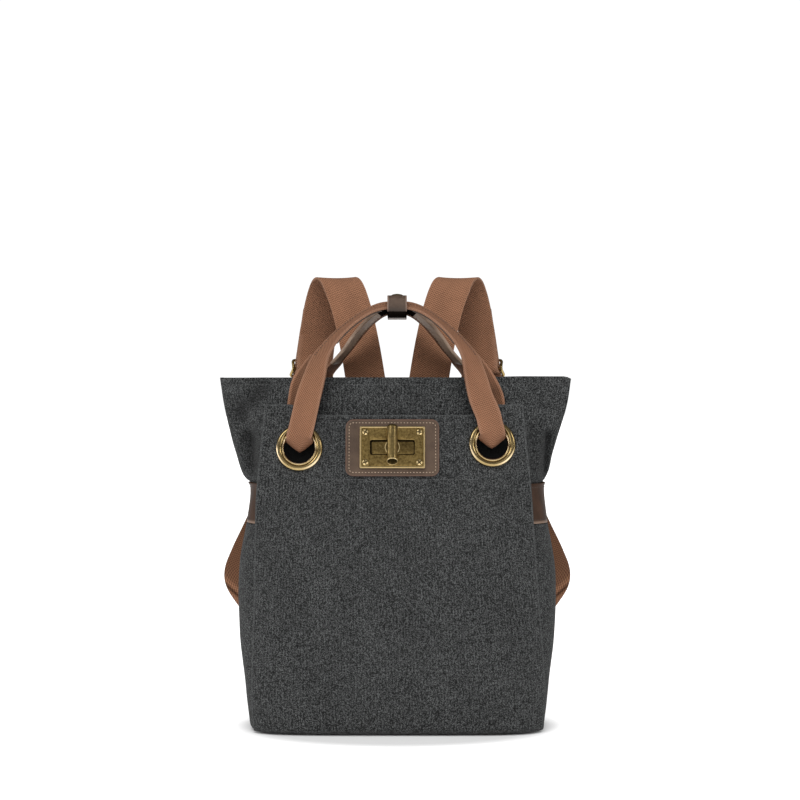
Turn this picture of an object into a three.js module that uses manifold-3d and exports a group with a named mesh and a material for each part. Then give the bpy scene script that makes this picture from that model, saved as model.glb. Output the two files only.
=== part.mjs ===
// Canvas backpack: a hollow canvas body with a front panel, side pockets, two carry handles,
// a turn lock and two shoulder straps. Millimetres, +Z up, the front faces -Y.
import * as THREE from 'three';
import { LoftGeometry } from 'three/addons/geometries/LoftGeometry.js';
import { mergeVertices } from 'three/addons/utils/BufferGeometryUtils.js';
import Module from 'manifold-3d';

const wasm = await Module();
wasm.setup();

// Cloth, leather and clearances
const CANVAS = 2;
const LEATHER = 1.8;
const LINING = 1.2;
const WEBBING = 2.2;
const GAP = 0.4;
const SEAT_GAP = 0.7;

// Body: sections from the base to the rim. half is the half width, lean the sideways shift, front
// and back are the depths from the middle plane, boxy runs from 0, a pinched lens, to 1, a rounded
// rectangle. The powers shape the section's outline at both ends of boxy.
const BODY_SECTIONS = [
  { z: -3, half: 127, lean: 0, front: 47, back: 43, boxy: 1 },
  { z: -0.5, half: 132, lean: 0, front: 53, back: 49, boxy: 1 },
  { z: 7, half: 134, lean: 0, front: 56, back: 52, boxy: 0.98 },
  { z: 40, half: 136.5, lean: 0, front: 58, back: 55, boxy: 0.95 },
  { z: 90, half: 138.8, lean: 0, front: 58.5, back: 56, boxy: 0.92 },
  { z: 140, half: 138.6, lean: 0, front: 56, back: 54, boxy: 0.88 },
  { z: 187, half: 135.5, lean: 0, front: 53, back: 50.5, boxy: 0.82 },
  { z: 222, half: 134, lean: 0, front: 49, back: 47, boxy: 0.75 },
  { z: 228, half: 140.5, lean: -1.6, front: 48, back: 46, boxy: 0.68 },
  { z: 236, half: 144.5, lean: -2, front: 46.8, back: 44.8, boxy: 0.6 },
  { z: 250, half: 148.2, lean: -2.6, front: 44.5, back: 42.5, boxy: 0.48 },
  { z: 264, half: 152.4, lean: -2.6, front: 42.2, back: 40.2, boxy: 0.36 },
  { z: 296, half: 161, lean: -1.5, front: 36.4, back: 34.4, boxy: 0.13 },
  { z: 322, half: 165, lean: -1.5, front: 30, back: 28, boxy: 0 },
];
const LENS_POWER = { x: 1, y: 2 };
const BOX_POWER = 0.4;
const LENS_TIP_GROWTH = 3;
const RIM_Z = 322;
const BODY_SIDES = 44;
const OUTER_ROWS = [-3, -0.5, 7, 40, 90, 140, 187, 222, 225, 229, 236, 246, 258, 270, 283, 296, 309, 322];
const INNER_ROWS = [-1, 1.5, 9, 40, 90, 140, 187, 222, 227, 236, 250, 266, 284, 303, 322];

// Folds pressed into the front of the wings, each along a line from its upper to its lower end
const WING_FOLDS = [
  { upperX: -150, upperZ: 294, lowerX: -136, lowerZ: 262, depth: 4, width: 8 },
  { upperX: -137, upperZ: 274, lowerX: -134, lowerZ: 240, depth: 10, width: 9 },
  { upperX: 142, upperZ: 272, lowerX: 138.5, lowerZ: 232, depth: 12, width: 5 },
  { upperX: 125, upperZ: 274, lowerX: 127, lowerZ: 240, depth: 6, width: 6 },
];
const FOLD_ROOM = 12;

// Front panel: half width and sideways shift by height, and how far its inner face stands off the
// body
const PANEL_ROWS = [
  { z: -1, half: 132.5, lean: 1.5, slack: 3.2 },
  { z: 30, half: 134.5, lean: 1.5, slack: 3.2 },
  { z: 114, half: 130.5, lean: -0.5, slack: 3.2 },
  { z: 190, half: 127, lean: -2.5, slack: 4.4 },
  { z: 228, half: 124.3, lean: -2.8, slack: 6.5 },
  { z: 280, half: 119.6, lean: -3, slack: 6.5 },
  { z: 300, half: 118.2, lean: -3, slack: 8 },
];
const PANEL_FOOT_Z = -1;
const PANEL_TOP_MIDDLE_Z = 287.5;
const PANEL_TOP_CORNER_Z = 297;
const PANEL_TOP_STEP = { from: 66, to: 96 };
const PANEL_FREE = { from: 150, to: 232 };
const PANEL_CROWN = 5;
const PANEL_COLUMNS = 18;
const PANEL_LEVELS = [0, 0.02, 0.06, 0.14, 0.28, 0.44, 0.6, 0.7, 0.78, 0.86, 0.94, 1];

// Side pockets and the leather bands along their tops
const POCKET_ROWS = [
  { z: -0.5, bulge: 0.3 },
  { z: 11, bulge: 0.6 },
  { z: 39, bulge: 1.8 },
  { z: 76, bulge: 3.8 },
  { z: 114, bulge: 5 },
  { z: 151, bulge: 4.6 },
  { z: 187, bulge: 1.6 },
];
const POCKET_LEVELS = [-0.5, 7, 22, 42, 76, 110, 145, 170, 187];
const BAND_LEVELS = [187.5, 200, 212, 224];
const BAND_BULGE = { low: 1.5, high: 0.2 };
const POCKET_UNDERLAP = 5;
const POCKET_BACK_X = 116;
const POCKET_COLUMNS = 10;
const POCKET_FULLNESS = 0.8;

// Eyelets, on the panel's face
const EYELETS = [
  { name: 'eyelet_left', x: -88.6, z: 257.4 },
  { name: 'eyelet_right', x: 86.4, z: 261 },
];
const EYELET_BORE = 14.2;
const EYELET_RIM = 21;
const EYELET_HEIGHT = 4.2;
const EYELET_THROAT = 15;
const EYELET_FLANGE = { radius: 19.8, thick: 1.5, chamfer: 0.5 };
const EYELET_ROLL_STEPS = 5;
const EYELET_SIDES = 18;

// Turn lock, on the panel's face
const LOCK_X = -4.2;
const LOCK_Z = 257.5;
const PATCH = { width: 85, height: 52, corner: 7 };
const PLATE = { width: 59, height: 38, corner: 1.2, thick: 1.8, rim: 1.4, rimHeight: 0.8 };
const SLOT = { width: 40.5, height: 13.5, corner: 1.5, boss: 9 };
const BASE_FLANGE = { width: 52, height: 26, corner: 4, thick: 1.5 };
const BOSS_RADIUS = 6.6;
const STEM_RADIUS = 3;
const STEM_PLAY = 0.4;
const PLATFORM_DROP = 0.6;
const BOSS_PROUD = 0.2;
const BAR_LENGTH = 36.5;
const BAR_RADIUS = 5;
const BAR_HOLLOW = 4.4;
const SCREW_HEAD = { radius: 2.8, height: 1.3, shank: 1.2 };
const SCREW_CROSS = { length: 3.2, width: 0.6, depth: 0.6 };
const SCREW_INSET = { x: 5, y: 5.2 };

// Webbing handles, the leather under their grips and the keeper round them
const HANDLE_WIDTH = 25;
const HANDLE_LEAN = -2.4;
const GRIP_ROWS = 5;
const LINING_WIDTH = 22;
const LINING_GAP = 0.7;
const SEAM_LIFT = 1;
const KEEPER = { depth: 58, height: 17.2, width: 18, wall: 1.8, corner: 6, z: 387.6, tilt: -4 };
const STUD = { radius: 7, height: 4.4 };

// Shoulder straps and sliders
const STRAP_WIDTH = 38;
const SLIDER = { width: 42, height: 16, wire: 1.5, step: 3.2 };
const SLIDER_ROW = 13;

// Colours and finishes
const FINISHES = {
  canvas: { color: 0x3f4040, roughness: 0.95, metalness: 0 },
  webbing: { color: 0x82604a, roughness: 0.9, metalness: 0 },
  leather: { color: 0x574638, roughness: 0.6, metalness: 0 },
  brass: { color: 0x8a7443, roughness: 0.4, metalness: 1 },
};

const bag = new THREE.Group();

// Adds one named piece to a group.
function addPiece(group, name, geometry, finish) {
  const mesh = new THREE.Mesh(geometry, new THREE.MeshStandardMaterial(FINISHES[finish]));
  mesh.name = name;
  group.add(mesh);
}

// Turns a closed geometry into a solid with its faces pointing out.
function solid(geometry) {
  const bare = new THREE.BufferGeometry();
  bare.setAttribute('position', geometry.attributes.position);
  bare.setIndex(geometry.index);
  const merged = mergeVertices(bare, 1e-4);
  const vertProperties = new Float32Array(merged.attributes.position.array);
  const triVerts = new Uint32Array(merged.index.array);
  if (signedVolume(vertProperties, triVerts) < 0) {
    for (let i = 0; i < triVerts.length; i += 3) {
      [triVerts[i], triVerts[i + 1]] = [triVerts[i + 1], triVerts[i]];
    }
  }
  return new wasm.Manifold(new wasm.Mesh({ numProp: 3, vertProperties, triVerts }));
}

function signedVolume(points, triangles) {
  const corners = [new THREE.Vector3(), new THREE.Vector3(), new THREE.Vector3()];
  let total = 0;
  for (let i = 0; i < triangles.length; i += 3) {
    corners.forEach((corner, k) => corner.fromArray(points, 3 * triangles[i + k]));
    total += corners[0].dot(corners[1].clone().cross(corners[2])) / 6;
  }
  return total;
}

// Turns a solid back into a geometry.
function geometryOf(body) {
  const mesh = body.getMesh();
  const geometry = new THREE.BufferGeometry();
  geometry.setAttribute('position', new THREE.BufferAttribute(mesh.vertProperties, 3));
  geometry.setIndex(new THREE.BufferAttribute(mesh.triVerts, 1));
  geometry.computeVertexNormals();
  return geometry;
}

function mix(a, b, share) {
  return a + (b - a) * share;
}

// Reads one column of a table at a height, smoothly between its rows.
function columnAt(table, column, z) {
  const last = table.length - 1;
  if (z <= table[0].z) return table[0][column];
  if (z >= table[last].z) return table[last][column];
  const i = table.findIndex((row) => row.z > z) - 1;
  const slope = (k) => {
    const low = table[Math.max(k - 1, 0)];
    const high = table[Math.min(k + 1, last)];
    return (high[column] - low[column]) / (high.z - low.z);
  };
  const step = table[i + 1].z - table[i].z;
  const t = (z - table[i].z) / step;
  const start = table[i][column];
  const rise = table[i + 1][column] - start;
  const in0 = step * slope(i);
  const in1 = step * slope(i + 1);
  return start + t * (in0 + t * (3 * rise - 2 * in0 - in1 + t * (in0 + in1 - 2 * rise)));
}

// The body's section at a height, grown by an outset along its normals.
function sectionAt(z, outset) {
  const boxy = columnAt(BODY_SECTIONS, 'boxy', z);
  return {
    lean: columnAt(BODY_SECTIONS, 'lean', z),
    half: columnAt(BODY_SECTIONS, 'half', z) + outset * mix(LENS_TIP_GROWTH, 1, boxy),
    front: columnAt(BODY_SECTIONS, 'front', z) + outset,
    back: columnAt(BODY_SECTIONS, 'back', z) + outset,
    powerX: mix(LENS_POWER.x, BOX_POWER, boxy),
    powerY: mix(LENS_POWER.y, BOX_POWER, boxy),
  };
}

// How far the folds push the front of a wing inwards at a point.
function foldDepth(x, z) {
  let depth = 0;
  for (const fold of WING_FOLDS) {
    const line = new THREE.Line3(
      new THREE.Vector3(fold.upperX, 0, fold.upperZ),
      new THREE.Vector3(fold.lowerX, 0, fold.lowerZ),
    );
    const point = new THREE.Vector3(x, 0, z);
    const away = line.closestPointToPoint(point, true, new THREE.Vector3()).distanceTo(point);
    depth += fold.depth * Math.exp(-((away / fold.width) ** 2));
  }
  return depth;
}

// A point of the body's wall: angle 0 is the +X side, a quarter turn on is the back.
function wallPoint(angle, z, outset) {
  const section = sectionAt(z, outset);
  const cos = Math.cos(angle);
  const sin = Math.sin(angle);
  const x = section.lean + section.half * Math.sign(cos) * Math.abs(cos) ** section.powerX;
  const depth = sin < 0 ? section.front : section.back;
  const y = depth * Math.sign(sin) * Math.abs(sin) ** section.powerY;
  const room = Math.min(1, Math.abs(y) / FOLD_ROOM);
  const fold = sin < 0 ? foldDepth(x, z) * room : 0;
  return new THREE.Vector3(x, y + fold, z);
}

// Depth of the front or back wall at a place, measured from the middle plane.
function wallDepth(side, x, z, outset) {
  const section = sectionAt(z, outset);
  const cos = Math.min(1, (Math.abs(x - section.lean) / section.half) ** (1 / section.powerX));
  return section[side] * Math.sqrt(1 - cos * cos) ** section.powerY;
}

function wallRing(z, outset, level) {
  return Array.from({ length: BODY_SIDES }, (_, k) => {
    const point = wallPoint((k / BODY_SIDES) * 2 * Math.PI, z, outset);
    return point.setZ(level);
  });
}

function makeBody() {
  const outer = OUTER_ROWS.map((z) => wallRing(z, 0, z));
  const inner = INNER_ROWS.map((z) => wallRing(z, -CANVAS, z));
  inner.push(wallRing(RIM_Z, -CANVAS, RIM_Z + CANVAS));
  const ends = { capStart: true, capEnd: true };
  const sack = solid(new LoftGeometry(outer, ends)).subtract(solid(new LoftGeometry(inner, ends)));
  addPiece(bag, 'body', geometryOf(sack), 'canvas');
}

// Distance of the panel's outer face in front of the middle plane.
function panelDepth(x, z) {
  const outset = columnAt(PANEL_ROWS, 'slack', z) + GAP + CANVAS;
  const across = (x - columnAt(PANEL_ROWS, 'lean', z)) / columnAt(PANEL_ROWS, 'half', z);
  const wrapped = wallDepth('front', x, z, outset);
  const flat = columnAt(BODY_SECTIONS, 'front', z) + outset - PANEL_CROWN * across ** 2;
  return mix(wrapped, flat, THREE.MathUtils.smoothstep(z, PANEL_FREE.from, PANEL_FREE.to));
}

function panelTop(x) {
  const rise = THREE.MathUtils.smoothstep(Math.abs(x), PANEL_TOP_STEP.from, PANEL_TOP_STEP.to);
  return mix(PANEL_TOP_MIDDLE_Z, PANEL_TOP_CORNER_Z, rise);
}

// One level of the panel: its outer face from left to right, then its inner face back again.
function panelRing(share) {
  const outer = [];
  const inner = [];
  for (let k = 0; k <= PANEL_COLUMNS; k += 1) {
    const across = (2 * k) / PANEL_COLUMNS - 1;
    const top = panelTop(across * columnAt(PANEL_ROWS, 'half', PANEL_TOP_CORNER_Z));
    const z = mix(PANEL_FOOT_Z, top, share);
    const x = columnAt(PANEL_ROWS, 'lean', z) + across * columnAt(PANEL_ROWS, 'half', z);
    const y = -panelDepth(x, z);
    outer.push(new THREE.Vector3(x, y, z));
    inner.unshift(new THREE.Vector3(x, y + CANVAS, z));
  }
  return [...outer, ...inner];
}

// A group on the panel's face: local x to the right, y up the panel and z out of it.
function seatOnPanel(x, z) {
  const reach = 5;
  const rise = panelDepth(x, z + reach) - panelDepth(x, z - reach);
  const turn = panelDepth(x + reach, z) - panelDepth(x - reach, z);
  const out = new THREE.Vector3(-turn, -2 * reach, -rise).normalize();
  const right = new THREE.Vector3(0, 0, 1).cross(out).normalize();
  const up = out.clone().cross(right).normalize();
  const seat = new THREE.Group();
  seat.quaternion.setFromRotationMatrix(new THREE.Matrix4().makeBasis(right, up, out));
  seat.position.set(x, -panelDepth(x, z), z);
  seat.updateMatrix();
  return seat;
}

const eyeletSeats = EYELETS.map(({ x, z }) => seatOnPanel(x, z));
const lockSeat = seatOnPanel(LOCK_X, LOCK_Z);

// A rounded rectangle about the origin.
function roundedRectangle(width, height, corner) {
  const x = width / 2 - corner;
  const y = height / 2 - corner;
  const shape = new THREE.Shape();
  shape.absarc(x, y, corner, 0, Math.PI / 2);
  shape.absarc(-x, y, corner, Math.PI / 2, Math.PI);
  shape.absarc(-x, -y, corner, Math.PI, 1.5 * Math.PI);
  shape.absarc(x, -y, corner, 1.5 * Math.PI, 2 * Math.PI);
  shape.closePath();
  return shape;
}

// A prism on an outline, from one height to another.
function prism(shape, low, high, curveSegments = 5) {
  const options = { depth: high - low, bevelEnabled: false, curveSegments };
  return new THREE.ExtrudeGeometry(shape, options).translate(0, 0, low);
}

// An upright round post, from one height to another.
function post(radius, low, high, sides = 16) {
  const geometry = new THREE.CylinderGeometry(radius, radius, high - low, sides);
  return geometry.rotateX(Math.PI / 2).translate(0, 0, (low + high) / 2);
}

// The slot's outline, a rounded bar with a round middle, grown all round.
function slotPrism(growth, low, high) {
  const bar = roundedRectangle(SLOT.width + 2 * growth, SLOT.height + 2 * growth, SLOT.corner);
  return solid(prism(bar, low, high, 2)).add(solid(post(SLOT.boss + growth, low, high)));
}

function makePanel() {
  let sheet = solid(new LoftGeometry(PANEL_LEVELS.map(panelRing), { capStart: true, capEnd: true }));
  const depth = 4 * CANVAS;
  for (const seat of eyeletSeats) {
    const hole = post(EYELET_THROAT + GAP, -depth, depth, EYELET_SIDES);
    sheet = sheet.subtract(solid(hole.applyMatrix4(seat.matrix)));
  }
  const window = geometryOf(slotPrism(GAP, -depth, depth)).applyMatrix4(lockSeat.matrix);
  addPiece(bag, 'front_panel', geometryOf(sheet.subtract(solid(window))), 'canvas');
}

// A sheet that wraps one side of the body, from under the panel's edge round to the back.
function sideSheet(side, levels, thickness, bulgeAt) {
  const rings = levels.map((z) => {
    const section = sectionAt(z, GAP);
    const panelEdge = columnAt(PANEL_ROWS, 'half', z) + side * columnAt(PANEL_ROWS, 'lean', z);
    const angleOf = (x) => Math.acos(((x - side * section.lean) / section.half) ** (1 / section.powerX));
    const start = -angleOf(panelEdge - POCKET_UNDERLAP);
    const end = angleOf(POCKET_BACK_X);
    const outer = [];
    const inner = [];
    for (let k = 0; k <= POCKET_COLUMNS; k += 1) {
      const share = k / POCKET_COLUMNS;
      const turn = mix(start, end, share);
      const angle = side > 0 ? turn : Math.PI - turn;
      const outset = GAP + bulgeAt(z) * Math.sin(Math.PI * share) ** POCKET_FULLNESS;
      outer.push(wallPoint(angle, z, outset + thickness));
      inner.unshift(wallPoint(angle, z, outset));
    }
    const ring = [...outer, ...inner];
    return side > 0 ? ring : ring.reverse();
  });
  return geometryOf(solid(new LoftGeometry(rings, { capStart: true, capEnd: true })));
}

function makeSidePockets() {
  const pocketBulge = (z) => columnAt(POCKET_ROWS, 'bulge', z);
  const [bandFoot, bandTop] = [BAND_LEVELS[0], BAND_LEVELS.at(-1)];
  const bandBulge = (z) => mix(BAND_BULGE.low, BAND_BULGE.high, (z - bandFoot) / (bandTop - bandFoot));
  for (const [name, side] of [['left', -1], ['right', 1]]) {
    const pocket = sideSheet(side, POCKET_LEVELS, CANVAS, pocketBulge);
    addPiece(bag, `side_pocket_${name}`, pocket, 'canvas');
    const band = sideSheet(side, BAND_LEVELS, LEATHER, bandBulge);
    addPiece(bag, `side_band_${name}`, band, 'leather');
  }
}

// A rolled eyelet that grips the panel between its front roll and its back flange.
function makeEyelets() {
  const back = -CANVAS - SEAT_GAP;
  const { radius, thick, chamfer } = EYELET_FLANGE;
  const roll = (EYELET_RIM - EYELET_BORE) / 2;
  const middle = EYELET_BORE + roll;
  const profile = [];
  for (let k = 0; k <= EYELET_ROLL_STEPS; k += 1) {
    const angle = Math.PI - (Math.PI * k) / EYELET_ROLL_STEPS;
    const height = SEAT_GAP + (EYELET_HEIGHT - SEAT_GAP) * Math.sin(angle);
    profile.push(new THREE.Vector2(middle + roll * Math.cos(angle), height));
  }
  profile.push(
    new THREE.Vector2(EYELET_THROAT, SEAT_GAP),
    new THREE.Vector2(EYELET_THROAT, back),
    new THREE.Vector2(radius, back),
    new THREE.Vector2(radius - chamfer, back - thick),
    new THREE.Vector2(EYELET_BORE + chamfer, back - thick),
    new THREE.Vector2(EYELET_BORE, back),
    profile[0].clone(),
  );
  eyeletSeats.forEach((seat, k) => {
    const ring = new THREE.LatheGeometry(profile, EYELET_SIDES).rotateX(Math.PI / 2);
    addPiece(seat, EYELETS[k].name, geometryOf(solid(ring)), 'brass');
    bag.add(seat);
  });
}

// The turn lock: patch, plate and screws on the panel, base on the body, bar on its stem.
function makeLock() {
  const patchTop = SEAT_GAP + LEATHER;
  const plateFoot = patchTop + GAP;
  const plateTop = plateFoot + PLATE.thick;
  const rimTop = plateTop + PLATE.rimHeight;
  const patchShape = roundedRectangle(PATCH.width, PATCH.height, PATCH.corner);
  const window = slotPrism(GAP, -CANVAS, rimTop);

  const screwPlaces = [-1, 1].flatMap((sy) => [-1, 1].map((sx) => [
    sx * (PLATE.width / 2 - SCREW_INSET.x),
    sy * (PLATE.height / 2 - SCREW_INSET.y),
  ]));
  let patch = solid(prism(patchShape, SEAT_GAP, patchTop)).subtract(window);
  let plate = solid(prism(roundedRectangle(PLATE.width, PLATE.height, PLATE.corner), plateFoot, rimTop, 2));
  const dish = roundedRectangle(PLATE.width - 2 * PLATE.rim, PLATE.height - 2 * PLATE.rim, PLATE.corner);
  plate = plate.subtract(solid(prism(dish, plateTop, rimTop + 1, 2)));
  plate = plate.subtract(slotPrism(0, plateFoot - 1, rimTop));
  screwPlaces.forEach(([x, y], k) => {
    const hole = solid(post(SCREW_HEAD.shank + GAP, 0, rimTop, 10).translate(x, y, 0));
    patch = patch.subtract(hole);
    plate = plate.subtract(hole);
    addPiece(lockSeat, `lock_screw_${k + 1}`, screwGeometry(plateTop).translate(x, y, 0), 'brass');
  });
  addPiece(lockSeat, 'lock_patch', geometryOf(patch), 'leather');
  addPiece(lockSeat, 'lock_plate', geometryOf(plate), 'brass');

  const wall = -(columnAt(PANEL_ROWS, 'slack', LOCK_Z) + CANVAS);
  const flangeShape = roundedRectangle(BASE_FLANGE.width, BASE_FLANGE.height, BASE_FLANGE.corner);
  const flange = solid(prism(flangeShape, wall, wall + BASE_FLANGE.thick));
  const platform = slotPrism(-2 * GAP, wall, plateTop - PLATFORM_DROP);
  const boss = solid(post(BOSS_RADIUS, wall, plateTop + BOSS_PROUD));
  const bore = solid(post(STEM_RADIUS + STEM_PLAY, wall - 1, rimTop + 1));
  const base = flange.add(platform).add(boss).subtract(bore);
  addPiece(lockSeat, 'lock_base', geometryOf(base), 'brass');

  const barZ = rimTop + 2 * GAP + BAR_RADIUS;
  const stem = solid(post(STEM_RADIUS, wall + GAP, barZ));
  const bar = solid(barGeometry().translate(0, 0, barZ));
  addPiece(lockSeat, 'turn_bar', geometryOf(stem.add(bar)), 'brass');
  bag.add(lockSeat);
}

// A round bar with a domed top end and a flared, hollow lower end.
function barGeometry() {
  const end = BAR_LENGTH / 2;
  const profile = [
    [0, end],
    [0.55 * BAR_RADIUS, end - 0.4],
    [0.92 * BAR_RADIUS, end - 1.8],
    [0.92 * BAR_RADIUS, 0.2 * end],
    [0.86 * BAR_RADIUS, -0.5 * end],
    [BAR_RADIUS, -end],
    [0.72 * BAR_RADIUS, -end],
    [0.45 * BAR_RADIUS, 0.9 * BAR_HOLLOW - end],
    [0, BAR_HOLLOW - end],
  ].map(([radius, height]) => new THREE.Vector2(radius, height));
  return new THREE.LatheGeometry(profile, 14);
}

// A domed screw with a cross cut in its head, and its shank through the plate and patch.
function screwGeometry(seatHeight) {
  const low = seatHeight + GAP / 2;
  const top = low + SCREW_HEAD.height;
  const profile = [
    [0, SEAT_GAP],
    [SCREW_HEAD.shank, SEAT_GAP],
    [SCREW_HEAD.shank, low],
    [SCREW_HEAD.radius, low],
    [0.8 * SCREW_HEAD.radius, mix(low, top, 0.75)],
    [0, top],
  ].map(([radius, height]) => new THREE.Vector2(radius, height));
  let screw = solid(new THREE.LatheGeometry(profile, 8).rotateX(Math.PI / 2));
  const { length, width, depth } = SCREW_CROSS;
  const arm = new THREE.BoxGeometry(length, width, 2 * depth).translate(0, 0, top);
  screw = screw.subtract(solid(arm)).subtract(solid(arm.clone().rotateZ(Math.PI / 2)));
  return geometryOf(screw);
}

// A flat band along smooth rows. Each row gives the middle of the band and the direction across it;
// lift moves the band along its normal, first and last pick a stretch of rows.
function ribbon(rows, width, thickness, { lift = 0, first = 0, last = rows.length - 1, steps = 2 } = {}) {
  const middle = new THREE.CatmullRomCurve3(rows.map((row) => new THREE.Vector3(row.x, row.y, row.z)));
  const across = new THREE.CatmullRomCurve3(rows.map((row) => new THREE.Vector3(...row.across)));
  const sections = [];
  for (let k = first * steps; k <= last * steps; k += 1) {
    const t = k / (steps * (rows.length - 1));
    const along = middle.getTangent(t);
    const side = across.getPoint(t);
    side.addScaledVector(along, -side.dot(along)).normalize();
    const normal = along.clone().cross(side);
    const corner = (a, n) => middle.getPoint(t)
      .addScaledVector(side, (a * width) / 2)
      .addScaledVector(normal, lift + (n * thickness) / 2);
    sections.push([corner(1, -1), corner(1, 1), corner(-1, 1), corner(-1, -1)]);
  }
  return geometryOf(solid(bandGeometry(sections)));
}

// A band through four-cornered sections. Both broad faces are split along the same diagonals, so
// the band keeps its thickness where it twists.
function bandGeometry(sections) {
  const sides = 4;
  const faces = [];
  for (let i = 0; i + 1 < sections.length; i += 1) {
    for (let j = 0; j < sides; j += 1) {
      const a = sides * i + j;
      const b = sides * i + ((j + 1) % sides);
      const [c, d] = [b + sides, a + sides];
      faces.push(...(j < 2 ? [a, b, d, b, c, d] : [a, b, c, a, c, d]));
    }
  }
  const end = sides * (sections.length - 1);
  faces.push(0, 2, 1, 0, 3, 2, end, end + 1, end + 2, end, end + 2, end + 3);
  const geometry = new THREE.BufferGeometry().setFromPoints(sections.flat());
  geometry.setIndex(faces);
  return geometry;
}

function mirrored(row) {
  return { ...row, x: -row.x, across: [-row.across[0], row.across[1], row.across[2]] };
}

// The whole handle from two halves that both start at the keeper.
function joinedHalves(left, right) {
  return [...left.slice(1).reverse(), ...right];
}

// A row of webbing that lies on the back wall, its width along the wall.
function onBack(x, z, lean, flip = 1) {
  const reach = 8;
  const y = wallDepth('back', x, z, 0) + SEAM_LIFT + WEBBING / 2;
  const fall = wallDepth('back', x + reach, z, 0) - wallDepth('back', x - reach, z, 0);
  const across = new THREE.Vector3(2 * reach, fall, 2 * reach * lean).multiplyScalar(flip);
  return { x, y, z, across: across.toArray() };
}

// Right half of the front handle's free part, from the keeper down to the eyelet
const FRONT_GRIP = [
  { x: 0, y: -12.8, z: 389.2, across: [0, 0.96, 0.28] },
  { x: 12, y: -13.2, z: 388.7, across: [0.16, 0.95, 0.26] },
  { x: 24, y: -15.5, z: 384.6, across: [0.32, 0.94, 0.14] },
  { x: 37, y: -20, z: 376.3, across: [0.42, 0.91, 0.02] },
  { x: 49.5, y: -27, z: 365.6, across: [0.5, 0.86, -0.04] },
  { x: 60, y: -34.5, z: 353.8, across: [0.56, 0.82, -0.05] },
  { x: 68.6, y: -41.5, z: 340.5, across: [0.67, 0.74, 0.03] },
  { x: 75.3, y: -47, z: 322, across: [0.86, 0.49, 0.13] },
  { x: 80, y: -51.5, z: 303, across: [0.95, 0.24, 0.18] },
];

// Right half of the front handle's return, up behind its free part from the panel's top
const FRONT_RETURN = [
  { x: 84, y: -39.5, z: 309, across: [0.95, 0.25, 0.1] },
  { x: 78.5, y: -41.6, z: 321.5, across: [0.86, 0.49, 0.13] },
  { x: 72.8, y: -39.6, z: 332.5, across: [0.75, 0.65, 0.08] },
  { x: 67.9, y: -38.2, z: 339.6, across: [0.67, 0.74, 0.03] },
];

// The front handle's way through an eyelet and back up behind the panel, in the eyelet's own frame
const EYELET_PASS = [
  { x: -3, up: 26, out: 7.2 },
  { x: -1, up: 16, out: 7 },
  { x: 0, up: 9.2, out: 5.8 },
  { x: 0, up: 4.8, out: 2.4 },
  { x: 0, up: 2.8, out: -1.6 },
  { x: 0, up: 3.6, out: -5.2 },
  { x: 0, up: 7.5, out: -7.6 },
  { x: 0, up: 16, out: -8 },
  { x: 2, up: 30, out: -7.6 },
  { x: 1, up: 44, out: -6.4 },
];

// One half of the front handle, on the left for -1 and on the right for 1.
function frontHalf(side) {
  const { matrix } = eyeletSeats[side < 0 ? 0 : 1];
  const leaned = (row, share) => {
    const placed = side < 0 ? mirrored(row) : row;
    return { ...placed, x: placed.x + HANDLE_LEAN * share };
  };
  const free = FRONT_GRIP.map((row, k) => leaned(row, k / FRONT_GRIP.length));
  const pass = EYELET_PASS.map(({ x, up, out }) => {
    const place = new THREE.Vector3(side * x, up, out).applyMatrix4(matrix);
    const across = new THREE.Vector3(side, 0, 0).transformDirection(matrix);
    return { x: place.x, y: place.y, z: place.z, across: across.toArray() };
  });
  return [...free, ...pass, ...FRONT_RETURN.map((row) => leaned(row, 1))];
}

// Right half of the rear handle, from the keeper down to its seam on the back wall
const REAR_HANDLE = [
  { x: 0, y: 12.8, z: 386.4, across: [0, 0.96, -0.27] },
  { x: 13, y: 13.3, z: 384.4, across: [-0.19, 0.96, -0.21] },
  { x: 27, y: 15.5, z: 374.2, across: [-0.28, 0.95, -0.1] },
  { x: 39, y: 18.5, z: 361.8, across: [-0.31, 0.95, -0.04] },
  { x: 50, y: 22, z: 347.5, across: [-0.35, 0.94, -0.01] },
  { x: 60, y: 27, z: 334, across: [-0.5, 0.85, -0.12] },
  { x: 67.5, y: 30, z: 318, across: [-0.92, 0.28, -0.28] },
  onBack(72, 300, 0.25, -1),
  onBack(75, 282, 0.12, -1),
  onBack(76, 262, 0.05, -1),
];

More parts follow.
